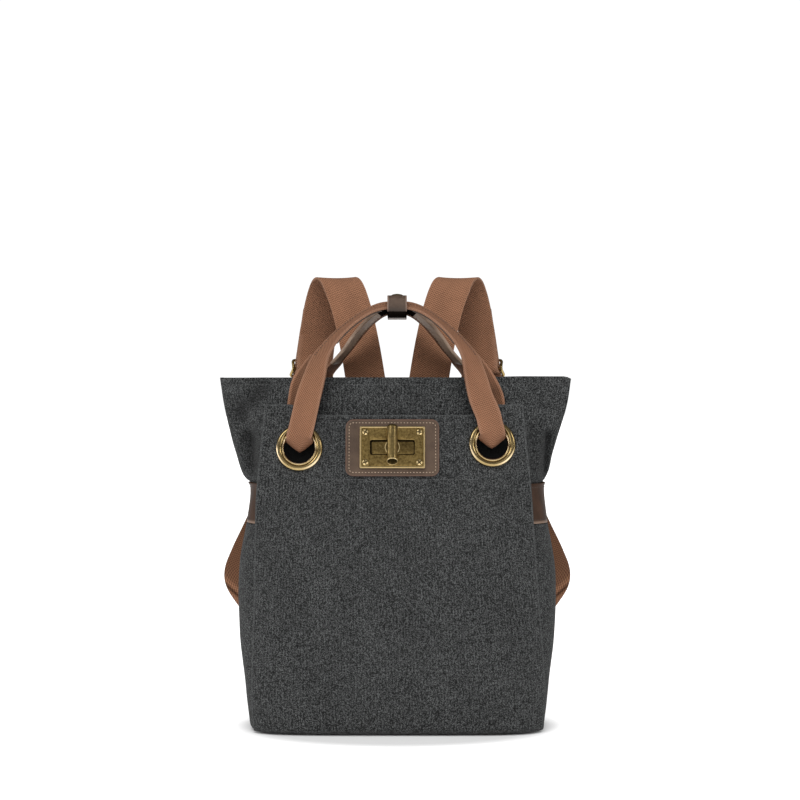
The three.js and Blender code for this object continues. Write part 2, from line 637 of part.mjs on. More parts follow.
// Right shoulder strap, from its seam on the back wall over its top bend, down to the lower corner
const SHOULDER_STRAP = [
  onBack(25, 258, 0),
  onBack(26, 280, -0.05),
  onBack(28, 302, -0.12),
  { x: 31, y: 38, z: 324, across: [1, 0, -0.18] },
  { x: 37, y: 45, z: 358, across: [1, 0, -0.22] },
  { x: 44, y: 52, z: 388, across: [1, -0.05, -0.28] },
  { x: 51, y: 58, z: 408, across: [1, -0.15, -0.25] },
  { x: 57, y: 66, z: 417.5, across: [1, -0.35, -0.1] },
  { x: 62, y: 74, z: 419.5, across: [1, -0.42, 0] },
  { x: 66.5, y: 82, z: 414, across: [1, -0.3, 0.1] },
  { x: 71, y: 89, z: 400, across: [1, -0.15, 0.15] },
  { x: 76.5, y: 95, z: 372, across: [1, 0, 0.18] },
  { x: 80.5, y: 98, z: 346, across: [1, 0, 0.2] },
  { x: 83, y: 99, z: 330, across: [1, 0, 0.22] },
  { x: 86.5, y: 100, z: 312, across: [1, 0, 0.28] },
  { x: 98, y: 101, z: 265, across: [1, 0, 0.36] },
  { x: 117.5, y: 97, z: 210, across: [1, 0, 0.4] },
  { x: 135.5, y: 92, z: 169.5, across: [0.94, 0, 0.35] },
  { x: 146.5, y: 88, z: 146, across: [0.95, 0.05, 0.3] },
  { x: 152, y: 82, z: 128.5, across: [1, 0.1, 0] },
  { x: 144.5, y: 75, z: 115, across: [0.85, 0.1, -0.5] },
  { x: 130, y: 68.5, z: 99, across: [0.72, 0.05, -0.68] },
  { x: 112, y: 62, z: 82, across: [0.68, 0, -0.73] },
  onBack(94, 66, -1.1),
  onBack(78, 55, -1.1),
];

function makeHandles() {
  const front = joinedHalves(frontHalf(-1), frontHalf(1));
  const rear = joinedHalves(REAR_HANDLE.map(mirrored), REAR_HANDLE);
  const under = -(WEBBING + LINING) / 2 - LINING_GAP;
  const grip = (rows) => {
    const centre = (rows.length - 1) / 2;
    return { lift: under, first: centre - GRIP_ROWS, last: centre + GRIP_ROWS };
  };
  addPiece(bag, 'handle_front', ribbon(front, HANDLE_WIDTH, WEBBING), 'webbing');
  addPiece(bag, 'handle_rear', ribbon(rear, HANDLE_WIDTH, WEBBING), 'webbing');
  addPiece(bag, 'handle_front_lining', ribbon(front, LINING_WIDTH, LINING, grip(front)), 'leather');
  addPiece(bag, 'handle_rear_lining', ribbon(rear, LINING_WIDTH, LINING, grip(rear)), 'leather');
}

// The keeper is a leather loop round both handles, with a snap cap on top.
function makeKeeper() {
  const seat = new THREE.Group();
  seat.position.set(0, 0, KEEPER.z);
  seat.rotation.x = THREE.MathUtils.degToRad(KEEPER.tilt);
  const loop = roundedRectangle(KEEPER.depth, KEEPER.height, KEEPER.corner);
  const clear = roundedRectangle(
    KEEPER.depth - 2 * KEEPER.wall,
    KEEPER.height - 2 * KEEPER.wall,
    KEEPER.corner - KEEPER.wall,
  );
  loop.holes.push(clear);
  const strip = prism(loop, -KEEPER.width / 2, KEEPER.width / 2, 4);
  strip.rotateX(Math.PI / 2).rotateZ(Math.PI / 2);
  addPiece(seat, 'handle_keeper', geometryOf(solid(strip)), 'leather');
  const cap = new THREE.LatheGeometry([
    [0, 0],
    [STUD.radius, 0],
    [STUD.radius, 0.3 * STUD.height],
    [0.7 * STUD.radius, 0.85 * STUD.height],
    [0, STUD.height],
  ].map(([radius, height]) => new THREE.Vector2(radius, height)), 16);
  cap.rotateX(Math.PI / 2).translate(0, 0, KEEPER.height / 2 + GAP);
  addPiece(seat, 'keeper_stud', geometryOf(solid(cap)), 'brass');
  bag.add(seat);
}

// A round wire between two points.
function wire(from, to, radius) {
  const length = from.distanceTo(to) + radius;
  const rod = new THREE.CylinderGeometry(radius, radius, length, 6);
  const turn = new THREE.Quaternion().setFromUnitVectors(
    new THREE.Vector3(0, 1, 0),
    to.clone().sub(from).normalize(),
  );
  const centre = from.clone().lerp(to, 0.5);
  return solid(rod.applyQuaternion(turn).translate(centre.x, centre.y, centre.z));
}

// A slider of bent wire: the middle bar lies before the strap, the outer bars behind it.
function sliderGeometry() {
  const side = SLIDER.width / 2;
  const bars = [
    { along: SLIDER.height / 2, out: -SLIDER.step },
    { along: 0, out: SLIDER.step },
    { along: -SLIDER.height / 2, out: -SLIDER.step },
  ];
  const end = (bar, x) => new THREE.Vector3(x, bar.along, bar.out);
  let frame = wire(end(bars[0], -side), end(bars[0], side), SLIDER.wire);
  for (let k = 1; k < bars.length; k += 1) {
    frame = frame.add(wire(end(bars[k], -side), end(bars[k], side), SLIDER.wire));
    for (const x of [-side, side]) {
      frame = frame.add(wire(end(bars[k - 1], x), end(bars[k], x), SLIDER.wire));
    }
  }
  return geometryOf(frame);
}

function makeShoulderStraps() {
  for (const [name, turn] of [['left', mirrored], ['right', (row) => row]]) {
    const rows = SHOULDER_STRAP.map(turn);
    addPiece(bag, `shoulder_strap_${name}`, ribbon(rows, STRAP_WIDTH, WEBBING), 'webbing');
    const [above, at, below] = rows.slice(SLIDER_ROW - 1, SLIDER_ROW + 2);
    const up = new THREE.Vector3().subVectors(above, below).normalize();
    const right = new THREE.Vector3(...at.across).multiplyScalar(Math.sign(at.across[0]));
    right.addScaledVector(up, -right.dot(up)).normalize();
    const out = right.clone().cross(up);
    const seat = new THREE.Group();
    seat.quaternion.setFromRotationMatrix(new THREE.Matrix4().makeBasis(right, up, out));
    seat.position.set(at.x, at.y, at.z);
    addPiece(seat, `strap_slider_${name}`, sliderGeometry(), 'brass');
    bag.add(seat);
  }
}

makeBody();
makePanel();
makeSidePockets();
makeEyelets();
makeLock();
makeHandles();
makeKeeper();
makeShoulderStraps();

// The origin is under the middle of the whole bag, on the surface that it stands on
const box = new THREE.Box3().setFromObject(bag);
const centre = box.getCenter(new THREE.Vector3());
bag.position.set(-centre.x, -centre.y, -box.min.z);

export default bag;
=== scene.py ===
"""Canvas backpack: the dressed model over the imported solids, in metres, front towards -Y."""
import logging
import math
from dataclasses import dataclass, field
from enum import Enum
from typing import Callable, NamedTuple, Sequence

import bmesh
import bpy
from mathutils import Matrix, Vector, noise


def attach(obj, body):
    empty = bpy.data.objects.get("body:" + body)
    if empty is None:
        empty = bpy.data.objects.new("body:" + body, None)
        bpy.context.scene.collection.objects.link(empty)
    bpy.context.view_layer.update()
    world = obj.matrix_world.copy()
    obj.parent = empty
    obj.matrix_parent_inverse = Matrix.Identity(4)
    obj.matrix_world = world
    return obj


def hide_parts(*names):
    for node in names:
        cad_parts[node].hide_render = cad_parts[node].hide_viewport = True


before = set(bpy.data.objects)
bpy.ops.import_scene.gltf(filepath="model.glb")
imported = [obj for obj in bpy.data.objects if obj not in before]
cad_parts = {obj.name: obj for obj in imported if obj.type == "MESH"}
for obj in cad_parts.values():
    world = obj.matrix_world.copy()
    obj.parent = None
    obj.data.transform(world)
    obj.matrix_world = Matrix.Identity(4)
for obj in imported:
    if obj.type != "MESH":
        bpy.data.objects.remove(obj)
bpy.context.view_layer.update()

LOG = logging.getLogger("backpack")
MM = 0.001
DRAWING_SHIFT = Vector((0.0, -16.542, 3.0))
UV_LAYER = "UVMap"
# The edge attribute marks cut edges and selvedges. It also carries painted highlights above 0 and painted
# shade below 0.
EDGE_AND_PAINTED_LIGHT_LAYER = "edge"
STITCH_LIFT = 0.0001
MERGE = 1e-4

Colour = tuple[float, float, float]
Place = tuple[Vector, Vector]
Material = bpy.types.Material
Mesh = bmesh.types.BMesh
Socket = bpy.types.NodeSocket


class BodyName(Enum):
    """The bodies that a piece can ride on."""

    BAG = "bag"
    TOGGLE = "toggle"


class Slot(Enum):
    """The record's material slots."""

    CANVAS = "canvas"
    WEBBING = "webbing"
    LEATHER = "leather"
    BRASS = "brass"


class Side(Enum):
    """Left and right of the bag, as a sign along X."""

    LEFT = -1
    RIGHT = 1

    @property
    def word(self) -> str:
        """The side's name as the nodes spell it."""
        return self.name.lower()


class Wall(Enum):
    """Front and back wall of the body."""

    FRONT = "front"
    BACK = "back"


class BodyRow(NamedTuple):
    """One section of the body, in millimetres."""

    z: float
    half: float
    lean: float
    front: float
    back: float
    boxy: float


class PanelRow(NamedTuple):
    """Half width, sideways shift and stand-off of the front panel at a height."""

    z: float
    half: float
    lean: float
    slack: float


class PocketRow(NamedTuple):
    """How far a side pocket bulges at a height."""

    z: float
    bulge: float


class Fold(NamedTuple):
    """A fold pressed into the front of a wing, from its upper to its lower end, with the painted shade along
    it.
    """

    upper_x: float
    upper_z: float
    lower_x: float
    lower_z: float
    depth: float
    width: float
    shade: float


class BandRow(NamedTuple):
    """Middle of a webbing band and the direction across it."""

    x: float
    y: float
    z: float
    across: tuple[float, float, float]


class Section(NamedTuple):
    """The body's outline at one height."""

    lean: float
    half: float
    front: float
    back: float
    power_x: float
    power_y: float


def at(x: float, y: float, z: float) -> Vector:
    """Place in the frame, in metres, of a point in the drawing's millimetres."""
    return MM * (Vector((x, y, z)) + DRAWING_SHIFT)


def blend(a: float, b: float, share: float) -> float:
    """Value between a and b."""
    return a + (b - a) * share


def ease(value: float, low: float, high: float) -> float:
    """Smooth step from 0 at low to 1 at high."""
    share = min(1.0, max(0.0, (value - low) / (high - low)))
    return share * share * (3.0 - 2.0 * share)


def ripple(x: float, z: float, reach: float, seed: float) -> float:
    """Soft unevenness of cloth, from -1 to 1, over bumps of about the given reach."""
    return noise.noise(Vector((x / reach, seed, z / reach)))


def column_at(table: Sequence[NamedTuple], column: str, z: float) -> float:
    """Read one column of a table at a height, smoothly between its rows.

    Args:
        table: Rows in rising order of z.
        column: Name of the column.
        z: Height in millimetres.

    Returns:
        The column's value at that height.
    """
    last = len(table) - 1
    if z <= table[0].z:
        return getattr(table[0], column)
    if z >= table[last].z:
        return getattr(table[last], column)
    i = max(k for k in range(last) if table[k].z <= z)

    def slope(k: int) -> float:
        """Rise of the column per millimetre at a row."""
        low, high = table[max(k - 1, 0)], table[min(k + 1, last)]
        return (getattr(high, column) - getattr(low, column)) / (high.z - low.z)

    step = table[i + 1].z - table[i].z
    t = (z - table[i].z) / step
    start = getattr(table[i], column)
    rise = getattr(table[i + 1], column) - start
    leave, arrive = step * slope(i), step * slope(i + 1)
    return start + t * (leave + t * (3 * rise - 2 * leave - arrive + t * (leave + arrive - 2 * rise)))


def spline_point(points: Sequence[Vector], share: float) -> Vector:
    """Point of the centripetal Catmull-Rom curve through the given points.

    Args:
        points: The points that the curve passes.
        share: Place along the curve, 0 to 1, every span taking an equal part.

    Returns:
        The point on the curve.
    """
    last = len(points) - 1
    run = min(max(share, 0.0), 1.0) * last
    i = min(int(run), last - 1)
    t = run - i
    p1, p2 = points[i], points[i + 1]
    p0 = points[i - 1] if i > 0 else 2 * p1 - p2
    p3 = points[i + 2] if i + 2 <= last else 2 * p2 - p1
    d1 = (p2 - p1).length ** 0.5
    d1 = d1 if d1 > 1e-4 else 1.0
    d0 = (p1 - p0).length ** 0.5
    d0 = d0 if d0 > 1e-4 else d1
    d2 = (p3 - p2).length ** 0.5
    d2 = d2 if d2 > 1e-4 else d1
    leave = d1 * ((p1 - p0) / d0 - (p2 - p0) / (d0 + d1) + (p2 - p1) / d1)
    arrive = d1 * ((p2 - p1) / d1 - (p3 - p1) / (d1 + d2) + (p3 - p2) / d2)
    rise = p2 - p1
    return p1 + t * (leave + t * (3 * rise - 2 * leave - arrive + t * (leave + arrive - 2 * rise)))


@dataclass(frozen=True)
class BodyShape:
    """Shape of the sack's outer wall, from the base to the pinched rim."""

    sections: tuple[BodyRow, ...] = (
        BodyRow(-3, 127, 0, 47, 43, 1),
        BodyRow(-0.5, 132, 0, 53, 49, 1),
        BodyRow(7, 134, 0, 56, 52, 0.98),
        BodyRow(40, 136.5, 0, 58, 55, 0.95),
        BodyRow(90, 138.8, 0, 58.5, 56, 0.92),
        BodyRow(140, 138.6, 0, 56, 54, 0.88),
        BodyRow(187, 135.5, 0, 53, 50.5, 0.82),
        BodyRow(222, 134, 0, 49, 47, 0.75),
        BodyRow(228, 140.5, -1.6, 48, 46, 0.68),
        BodyRow(236, 144.5, -2, 46.8, 44.8, 0.6),
        BodyRow(250, 148.2, -2.6, 44.5, 42.5, 0.48),
        BodyRow(264, 152.4, -2.6, 42.2, 40.2, 0.36),
        BodyRow(296, 161, -1.5, 36.4, 34.4, 0.13),
        BodyRow(322, 165, -1.5, 30, 28, 0),
    )
    folds: tuple[Fold, ...] = (
        Fold(-124, 313, -147, 290, 2.5, 8, 0.5),
        Fold(-150, 294, -136, 262, 4, 8, 0.15),
        Fold(-137, 264, -134, 238, 10, 7, 0.5),
        Fold(141, 268, 138, 232, 12, 4.5, 0.65),
        Fold(125, 274, 127, 240, 6, 6, 0.2),
    )
    lens_x: float = 1.0
    lens_y: float = 2.0
    box_power: float = 0.4
    tip_growth: float = 3.0
    base_z: float = -3.0
    rim_z: float = 322.0
    fold_room: float = 12.0

    def section(self, z: float, outset: float) -> Section:
        """Outline of the wall at a height.

        Args:
            z: Height in millimetres.
            outset: How far the outline is grown along its normals.

        Returns:
            The outline's sizes and powers.
        """
        boxy = column_at(self.sections, "boxy", z)
        return Section(
            lean=column_at(self.sections, "lean", z),
            half=column_at(self.sections, "half", z) + outset * blend(self.tip_growth, 1.0, boxy),
            front=column_at(self.sections, "front", z) + outset,
            back=column_at(self.sections, "back", z) + outset,
            power_x=blend(self.lens_x, self.box_power, boxy),
            power_y=blend(self.lens_y, self.box_power, boxy),
        )

    def fold_sum(self, column: str, x: float, z: float) -> float:
        """Depth, or painted shade, of the folds in the front wall at a place.

        Args:
            column: Name of the folds' column to add up.
            x: Place along the width.
            z: Height.

        Returns:
            Depth in millimetres, or painted shade.
        """
        total = 0.0
        for fold in self.folds:
            run = Vector((fold.lower_x - fold.upper_x, fold.lower_z - fold.upper_z))
            to = Vector((x - fold.upper_x, z - fold.upper_z))
            share = min(1.0, max(0.0, to.dot(run) / run.length_squared))
            away = (to - share * run).length
            total += getattr(fold, column) * math.exp(-((away / fold.width) ** 2))
        return total

    def on_section(self, section: Section, angle: float, z: float) -> Vector:
        """Point of the wall on an outline; angle 0 is the right tip, a quarter turn on the back.

        Args:
            section: The outline.
            angle: Angle round the outline.
            z: Height.

        Returns:
            The point in the drawing's millimetres.
        """
        cos, sin = math.cos(angle), math.sin(angle)
        x = section.lean + section.half * math.copysign(abs(cos) ** section.power_x, cos)
        deep = section.front if sin < 0 else section.back
        y = deep * math.copysign(abs(sin) ** section.power_y, sin)
        if sin < 0:
            y += self.fold_sum("depth", x, z) * min(1.0, abs(y) / self.fold_room)
        return Vector((x, y, z))

    def wall_depth(self, wall: Wall, x: float, z: float, outset: float = 0.0) -> float:
        """Distance of the front or back wall from the middle plane.

        Args:
            wall: Which wall.
            x: Place along the width.
            z: Height.
            outset: How far the wall is grown.

        Returns:
            Distance in millimetres.
        """
        section = self.section(z, outset)
        share = abs(x - section.lean) / section.half
        cos = min(1.0, share ** (1.0 / section.power_x))
        return getattr(section, wall.value) * math.sqrt(1.0 - cos * cos) ** section.power_y

    def ring(self, z: float, columns: int, outset: float = 0.0) -> list[Vector]:
        """Points round the wall at a height, evenly spaced in each quarter.

        Args:
            z: Height.
            columns: Number of points, a multiple of four.
            outset: How far the wall is grown.

        Returns:
            The points, from the right tip towards the back.
        """
        section = self.section(z, outset)
        fine, per_quarter = 48, columns // 4
        points: list[Vector] = []
        for quarter in range(4):
            angles = [(quarter + k / fine) * math.pi / 2 for k in range(fine + 1)]
            path = [self.on_section(section, angle, z) for angle in angles]
            lengths = [0.0]
            for a, b in zip(path, path[1:]):
                lengths.append(lengths[-1] + (b - a).length)
            k = 0
            for step in range(per_quarter):
                due = lengths[-1] * step / per_quarter
                while lengths[k + 1] < due:
                    k += 1
                share = (due - lengths[k]) / max(lengths[k + 1] - lengths[k], 1e-9)
                points.append(path[k].lerp(path[k + 1], share))
        return points


@dataclass(frozen=True)
class PanelShape:
    """Shape of the front panel's outer face."""

    body: BodyShape
    rows: tuple[PanelRow, ...] = (
        PanelRow(-1, 132.5, 1.5, 3.2),
        PanelRow(30, 134.5, 1.5, 3.2),
        PanelRow(114, 130.5, -0.5, 3.2),
        PanelRow(190, 127, -2.5, 4.4),
        PanelRow(228, 124.3, -2.8, 6.5),
        PanelRow(280, 119.6, -3, 6.5),
        PanelRow(300, 118.2, -3, 8),
    )
    cloth: float = 2.0
    gap: float = 0.4
    foot_z: float = -1.0
    top_middle_z: float = 287.5
    top_corner_z: float = 297.0
    step_from: float = 66.0
    step_to: float = 96.0
    free_from: float = 150.0
    free_to: float = 232.0
    crown: float = 5.0

    def depth(self, x: float, z: float) -> float:
        """Distance of the outer face in front of the middle plane.

        Args:
            x: Place along the width.
            z: Height.

        Returns:
            Distance in millimetres.
        """
        outset = column_at(self.rows, "slack", z) + self.gap + self.cloth
        across = (x - column_at(self.rows, "lean", z)) / column_at(self.rows, "half", z)
        wrapped = self.body.wall_depth(Wall.FRONT, x, z, outset)
        flat = column_at(self.body.sections, "front", z) + outset - self.crown * across**2
        return blend(wrapped, flat, ease(z, self.free_from, self.free_to))

    def top(self, x: float) -> float:
        """Height of the top edge, lower between the handles."""
        rise = ease(abs(x), self.step_from, self.step_to)
        return blend(self.top_middle_z, self.top_corner_z, rise)

    def spot(self, across: float, share: float) -> tuple[float, float]:
        """Width and height of a place on the panel.

        Args:
            across: From -1 at the left edge to 1 at the right edge.
            share: From 0 at the foot to 1 at the top edge.

        Returns:
            x and z in millimetres.
        """
        top = self.top(across * column_at(self.rows, "half", self.top_corner_z))
        z = blend(self.foot_z, top, share)
        x = column_at(self.rows, "lean", z) + across * column_at(self.rows, "half", z)
        return x, z

    def seat(self, x: float, z: float) -> Matrix:
        """Frame on the panel's face: x to the right, y up the panel, z out of it.

        Args:
            x: Place along the width.
            z: Height.

        Returns:
            Matrix from the seat's millimetres to the frame's metres.
        """
        reach = 5.0
        rise = self.depth(x, z + reach) - self.depth(x, z - reach)
        turn = self.depth(x + reach, z) - self.depth(x - reach, z)
        out = Vector((-turn, -2 * reach, -rise)).normalized()
        right = Vector((0.0, 0.0, 1.0)).cross(out).normalized()
        up = out.cross(right)
        return seat_matrix(right, up, out, at(x, -self.depth(x, z), z))


def seat_matrix(right: Vector, up: Vector, out: Vector, place: Vector) -> Matrix:
    """Matrix from a seat's own millimetres to the frame's metres.

    Args:
        right: The seat's x direction.
        up: The seat's y direction.
        out: The seat's z direction.
        place: The seat's origin in metres.

    Returns:
        The matrix.
    """
    turn = Matrix((right, up, out)).transposed().to_4x4()
    return Matrix.Translation(place) @ turn @ Matrix.Scale(MM, 4)


class NodeSketch:
    """A material's node tree, with short calls for adding and joining nodes."""

    def __init__(self, name: str) -> None:
        """Start a material with its principled shader.

        Args:
            name: Name of the material.
        """
        self.material = bpy.data.materials.new(name)
        self.material.use_nodes = True
        self.tree = self.material.node_tree
        self.shader = self.tree.nodes["Principled BSDF"]

    def add(self, kind: str, **values: object) -> bpy.types.Node:
        """Add a node and set its options.

        Args:
            kind: Blender's name of the node type.
            **values: Options of the node.

        Returns:
            The node.
        """
        node = self.tree.nodes.new(kind)
        for key, value in values.items():
            setattr(node, key, value)
        return node

    def join(self, source: Socket, target: Socket) -> None:
        """Link one socket to another."""
        self.tree.links.new(source, target)

    def coordinates(self, output: str) -> Socket:
        """Texture coordinates of one kind, such as UV or Object."""
        return self.add("ShaderNodeTexCoord").outputs[output]

    def stretched(
        self, source: Socket, scale: Sequence[float], turn: float = 0.0
    ) -> Socket:
        """Coordinates turned about Z and scaled.

        Args:
            source: Coordinates in metres.
            scale: Factor for each direction.
            turn: Turn in degrees.

        Returns:
            The mapped coordinates.
        """
        turned = self.add("ShaderNodeMapping")
        turned.inputs["Rotation"].default_value = (0.0, 0.0, math.radians(turn))
        self.join(source, turned.inputs["Vector"])
        sized = self.add("ShaderNodeMapping")
        sized.inputs["Scale"].default_value = scale
        self.join(turned.outputs["Vector"], sized.inputs["Vector"])
        return sized.outputs["Vector"]

    def noise(
        self, source: Socket, scale: Sequence[float], detail: float = 2.0, rough: float = 0.5
    ) -> Socket:
        """Noise over stretched coordinates.

        Args:
            source: Coordinates in metres.
            scale: Bumps per metre in each direction.
            detail: Layers of finer noise.
            rough: Strength of the finer layers.

        Returns:
            The noise, about 0.5 on average.
        """
        node = self.add("ShaderNodeTexNoise")
        node.inputs["Scale"].default_value = 1.0
        node.inputs["Detail"].default_value = detail
        node.inputs["Roughness"].default_value = rough
        self.join(self.stretched(source, scale), node.inputs["Vector"])
        return node.outputs["Fac"]

    def cells(self, source: Socket, size: float) -> Socket:
        """A random value for each square of a grid.

        Args:
            source: Coordinates in metres.
            size: Side of a square in metres.

        Returns:
            The value, 0 to 1.
        """
        whole = self.add("ShaderNodeVectorMath", operation="FLOOR")
        self.join(self.stretched(source, (1 / size, 1 / size, 1.0)), whole.inputs[0])
        node = self.add("ShaderNodeTexWhiteNoise", noise_dimensions="2D")
        self.join(whole.outputs["Vector"], node.inputs["Vector"])
        return node.outputs["Value"]

    def wave(self, source: Socket, pitch: float, turn: float) -> Socket:
        """Straight ribs across a turned direction.

        Args:
            source: Coordinates in metres.
            pitch: Distance between ribs in metres.
            turn: Turn of the coordinates in degrees.

        Returns:
            Height of the ribs, 0 to 1.
        """
        node = self.add("ShaderNodeTexWave", bands_direction="X", wave_profile="SIN")
        node.inputs["Scale"].default_value = 2 * math.pi / (20.0 * pitch)
        self.join(self.stretched(source, (1.0, 1.0, 1.0), turn), node.inputs["Vector"])
        return node.outputs["Fac"]

    def math(
        self, operation: str, a: Socket, b: Socket | float
    ) -> Socket:
        """One step of arithmetic.

        Args:
            operation: Blender's name of the step.
            a: First value.
            b: Second value, a socket or a number.

        Returns:
            The result.
        """
        node = self.add("ShaderNodeMath", operation=operation)
        self.join(a, node.inputs[0])
        if isinstance(b, float):
            node.inputs[1].default_value = b
        else:
            self.join(b, node.inputs[1])
        return node.outputs[0]

    def ramp(
        self, source: Socket, stops: Sequence[tuple[float, Colour]]
    ) -> Socket:
        """Colours picked by a value.

        Args:
            source: The value.
            stops: Places and colours in rising order.

        Returns:
            The colour.
        """
        node = self.add("ShaderNodeValToRGB")
        elements = node.color_ramp.elements
        while len(elements) < len(stops):
            elements.new(0.5)
        for element, (place, colour) in zip(elements, stops):
            element.position = place
            element.color = (*colour, 1.0)
        self.join(source, node.inputs["Fac"])
        return node.outputs["Color"]

    def mix(
        self,
        share: Socket | float,
        a: Socket,
        b: Socket | Colour,
        kind: str = "MIX",
    ) -> Socket:
        """Mix two colours.

        Args:
            share: How much of the second colour.
            a: First colour.
            b: Second colour.
            kind: Blend type.

        Returns:
            The mixed colour.
        """
        node = self.add("ShaderNodeMixRGB", blend_type=kind)
        if isinstance(share, float):
            node.inputs["Fac"].default_value = share
        else:
            self.join(share, node.inputs["Fac"])
        self.join(a, node.inputs["Color1"])
        if isinstance(b, tuple):
            node.inputs["Color2"].default_value = (*b, 1.0)
        else:
            self.join(b, node.inputs["Color2"])
        return node.outputs["Color"]

    def edge(self, factor: float = 1.0) -> Socket:
        """The piece's own edge attribute: 1 on cut edges and on painted highlights, -1 for painted shade in
        hollows.

        Args:
            factor: Factor on the attribute; a negative one picks the painted shade.

        Returns:
            The product, clamped to 0 to 1.
        """
        mark = self.add("ShaderNodeAttribute", attribute_name=EDGE_AND_PAINTED_LIGHT_LAYER)
        scaled = self.add("ShaderNodeMath", operation="MULTIPLY", use_clamp=True)
        scaled.inputs[1].default_value = factor
        self.join(mark.outputs["Fac"], scaled.inputs[0])
        return scaled.outputs[0]

    def bump(self, height: Socket, depth: float, strength: float = 1.0) -> None:
        """Raise the surface's normal by a height.

        Args:
            height: Height, 0 to 1.
            depth: Depth of the relief in metres.
            strength: Share of the effect.
        """
        node = self.add("ShaderNodeBump")
        node.inputs["Distance"].default_value = depth
        node.inputs["Strength"].default_value = strength
        self.join(height, node.inputs["Height"])
        self.join(node.outputs["Normal"], self.shader.inputs["Normal"])

    def roughness(self, source: Socket, low: float, high: float) -> None:
        """Let a value run the roughness between two limits.

        Args:
            source: The value, 0 to 1.
            low: Roughness at 0.
            high: Roughness at 1.
        """
        node = self.add("ShaderNodeMapRange")
        node.inputs["To Min"].default_value = low
        node.inputs["To Max"].default_value = high
        self.join(source, node.inputs["Value"])
        self.join(node.outputs["Result"], self.shader.inputs["Roughness"])

    def paint(self, colour: Socket) -> None:
        """Give the shader its colour."""
        self.join(colour, self.shader.inputs["Base Color"])


@dataclass(frozen=True)
class CanvasFinish:
    """Heathered canvas: light and dark yarns that cross in a plain weave."""

    name: str
    dark: Colour = (0.0030, 0.0032, 0.0032)
    middle: Colour = (0.0150, 0.0155, 0.0155)
    light: Colour = (0.084, 0.0865, 0.0865)
    worn_and_highlit: Colour = (0.058, 0.060, 0.060)
    painted_crease_shade: Colour = (0.003, 0.003, 0.003)
    wear_and_highlight: float = 0.55
    yarn: float = 0.0006
    fibre: float = 0.0009
    slub: float = 0.007
    thread: float = 0.00275
    drift: float = 0.05
    warp_share: float = 0.36
    rib_share: float = 0.06
    fleck_share: float = 0.5
    stops: tuple[float, float, float] = (0.24, 0.46, 0.73)
    relief: float = 0.00022

    def build(self) -> Material:
        """Make the material.

        Returns:
            The material.
        """
        sketch = NodeSketch(self.name)
        cloth = sketch.coordinates("UV")
        fleck = sketch.cells(cloth, self.yarn)
        slubs = sketch.noise(cloth, (1 / self.fibre, 1 / self.slub, 1.0))
        warp = sketch.math("MULTIPLY", slubs, self.warp_share)
        ribs = sketch.math("MULTIPLY", sketch.wave(cloth, self.thread, 0.0), self.rib_share)
        yarns = sketch.math("ADD", warp, ribs)
        heather = sketch.math("ADD", yarns, sketch.math("MULTIPLY", fleck, self.fleck_share))
        tone = sketch.ramp(heather, tuple(zip(self.stops, (self.dark, self.middle, self.light))))
        patchy = sketch.noise(cloth, (1.6 / self.drift, 0.6 / self.drift, 1.0), detail=3.0)
        wash = sketch.ramp(patchy, ((0.3, (0.88, 0.88, 0.88)), (0.7, (1.1, 1.1, 1.1))))
        washed = sketch.mix(1.0, tone, wash, "MULTIPLY")
        # Edges marked above 0 are lightened: painted highlight where the panel's edges catch the light, and
        # wear.
        edge_highlit = sketch.mix(sketch.edge(self.wear_and_highlight), washed, self.worn_and_highlit)
        # Marks below 0 take painted shade, darkest in the deepest folds of the wings.
        sketch.paint(sketch.mix(sketch.edge(-1.0), edge_highlit, self.painted_crease_shade))
        over = sketch.wave(cloth, 2 * self.yarn, 0.0)
        under = sketch.wave(cloth, 2 * self.yarn, 90.0)
        weave = sketch.math("MULTIPLY", over, under)
        sketch.bump(sketch.math("ADD", weave, heather), self.relief)
        sketch.shader.inputs["Roughness"].default_value = 0.95
        sketch.shader.inputs["Specular IOR Level"].default_value = 0.15
        sketch.shader.inputs["Sheen Weight"].default_value = 0.03
        return sketch.material


@dataclass(frozen=True)
class WebbingFinish:
    """Tan cotton webbing with diagonal twill ribs."""

    name: str
    groove: Colour = (0.076, 0.036, 0.0205)
    rib: Colour = (0.232, 0.114, 0.066)
    edge: Colour = (0.215, 0.118, 0.077)
    painted_shade: Colour = (0.013, 0.006, 0.003)
    pitch: float = 0.0018
    turn: float = 50.0
    yarn: float = 0.0007
    shade: float = -1.0
    twill_share: float = 0.42
    cross_share: float = 0.26
    fibre_share: float = 0.5
    wear_and_highlight: float = 0.6
    relief: float = 0.0004

    def build(self) -> Material:
        """Make the material.

        Returns:
            The material.
        """
        sketch = NodeSketch(self.name)
        cloth = sketch.coordinates("UV")
        twill = sketch.math("MULTIPLY", sketch.wave(cloth, self.pitch, self.turn), self.twill_share)
        cross = sketch.math("MULTIPLY", sketch.wave(cloth, self.pitch, -self.turn), self.cross_share)
        fibre = sketch.noise(cloth, (1 / self.yarn, 0.6 / self.yarn, 1.0), detail=3.0, rough=0.6)
        ribs = sketch.math("ADD", twill, cross)
        height = sketch.math("ADD", ribs, sketch.math("MULTIPLY", fibre, self.fibre_share))
        tone = sketch.ramp(height, ((0.28, self.groove), (0.78, self.rib)))
        patchy = sketch.noise(cloth, (45.0, 22.0, 1.0), detail=3.0)
        wash = sketch.ramp(patchy, ((0.3, (0.88, 0.88, 0.88)), (0.7, (1.1, 1.09, 1.08))))
        washed = sketch.mix(1.0, tone, wash, "MULTIPLY")
        # Selvedges are lighter, partly wear and partly painted highlight. Marks below 0 take painted shade:
        # covered rows, the strap's low loop and its fold slit.
        worn_and_highlit = sketch.mix(sketch.edge(self.wear_and_highlight), washed, self.edge)
        sketch.paint(sketch.mix(sketch.edge(self.shade), worn_and_highlit, self.painted_shade))
        sketch.bump(height, self.relief)
        sketch.shader.inputs["Roughness"].default_value = 0.92
        sketch.shader.inputs["Specular IOR Level"].default_value = 0.1
        return sketch.material


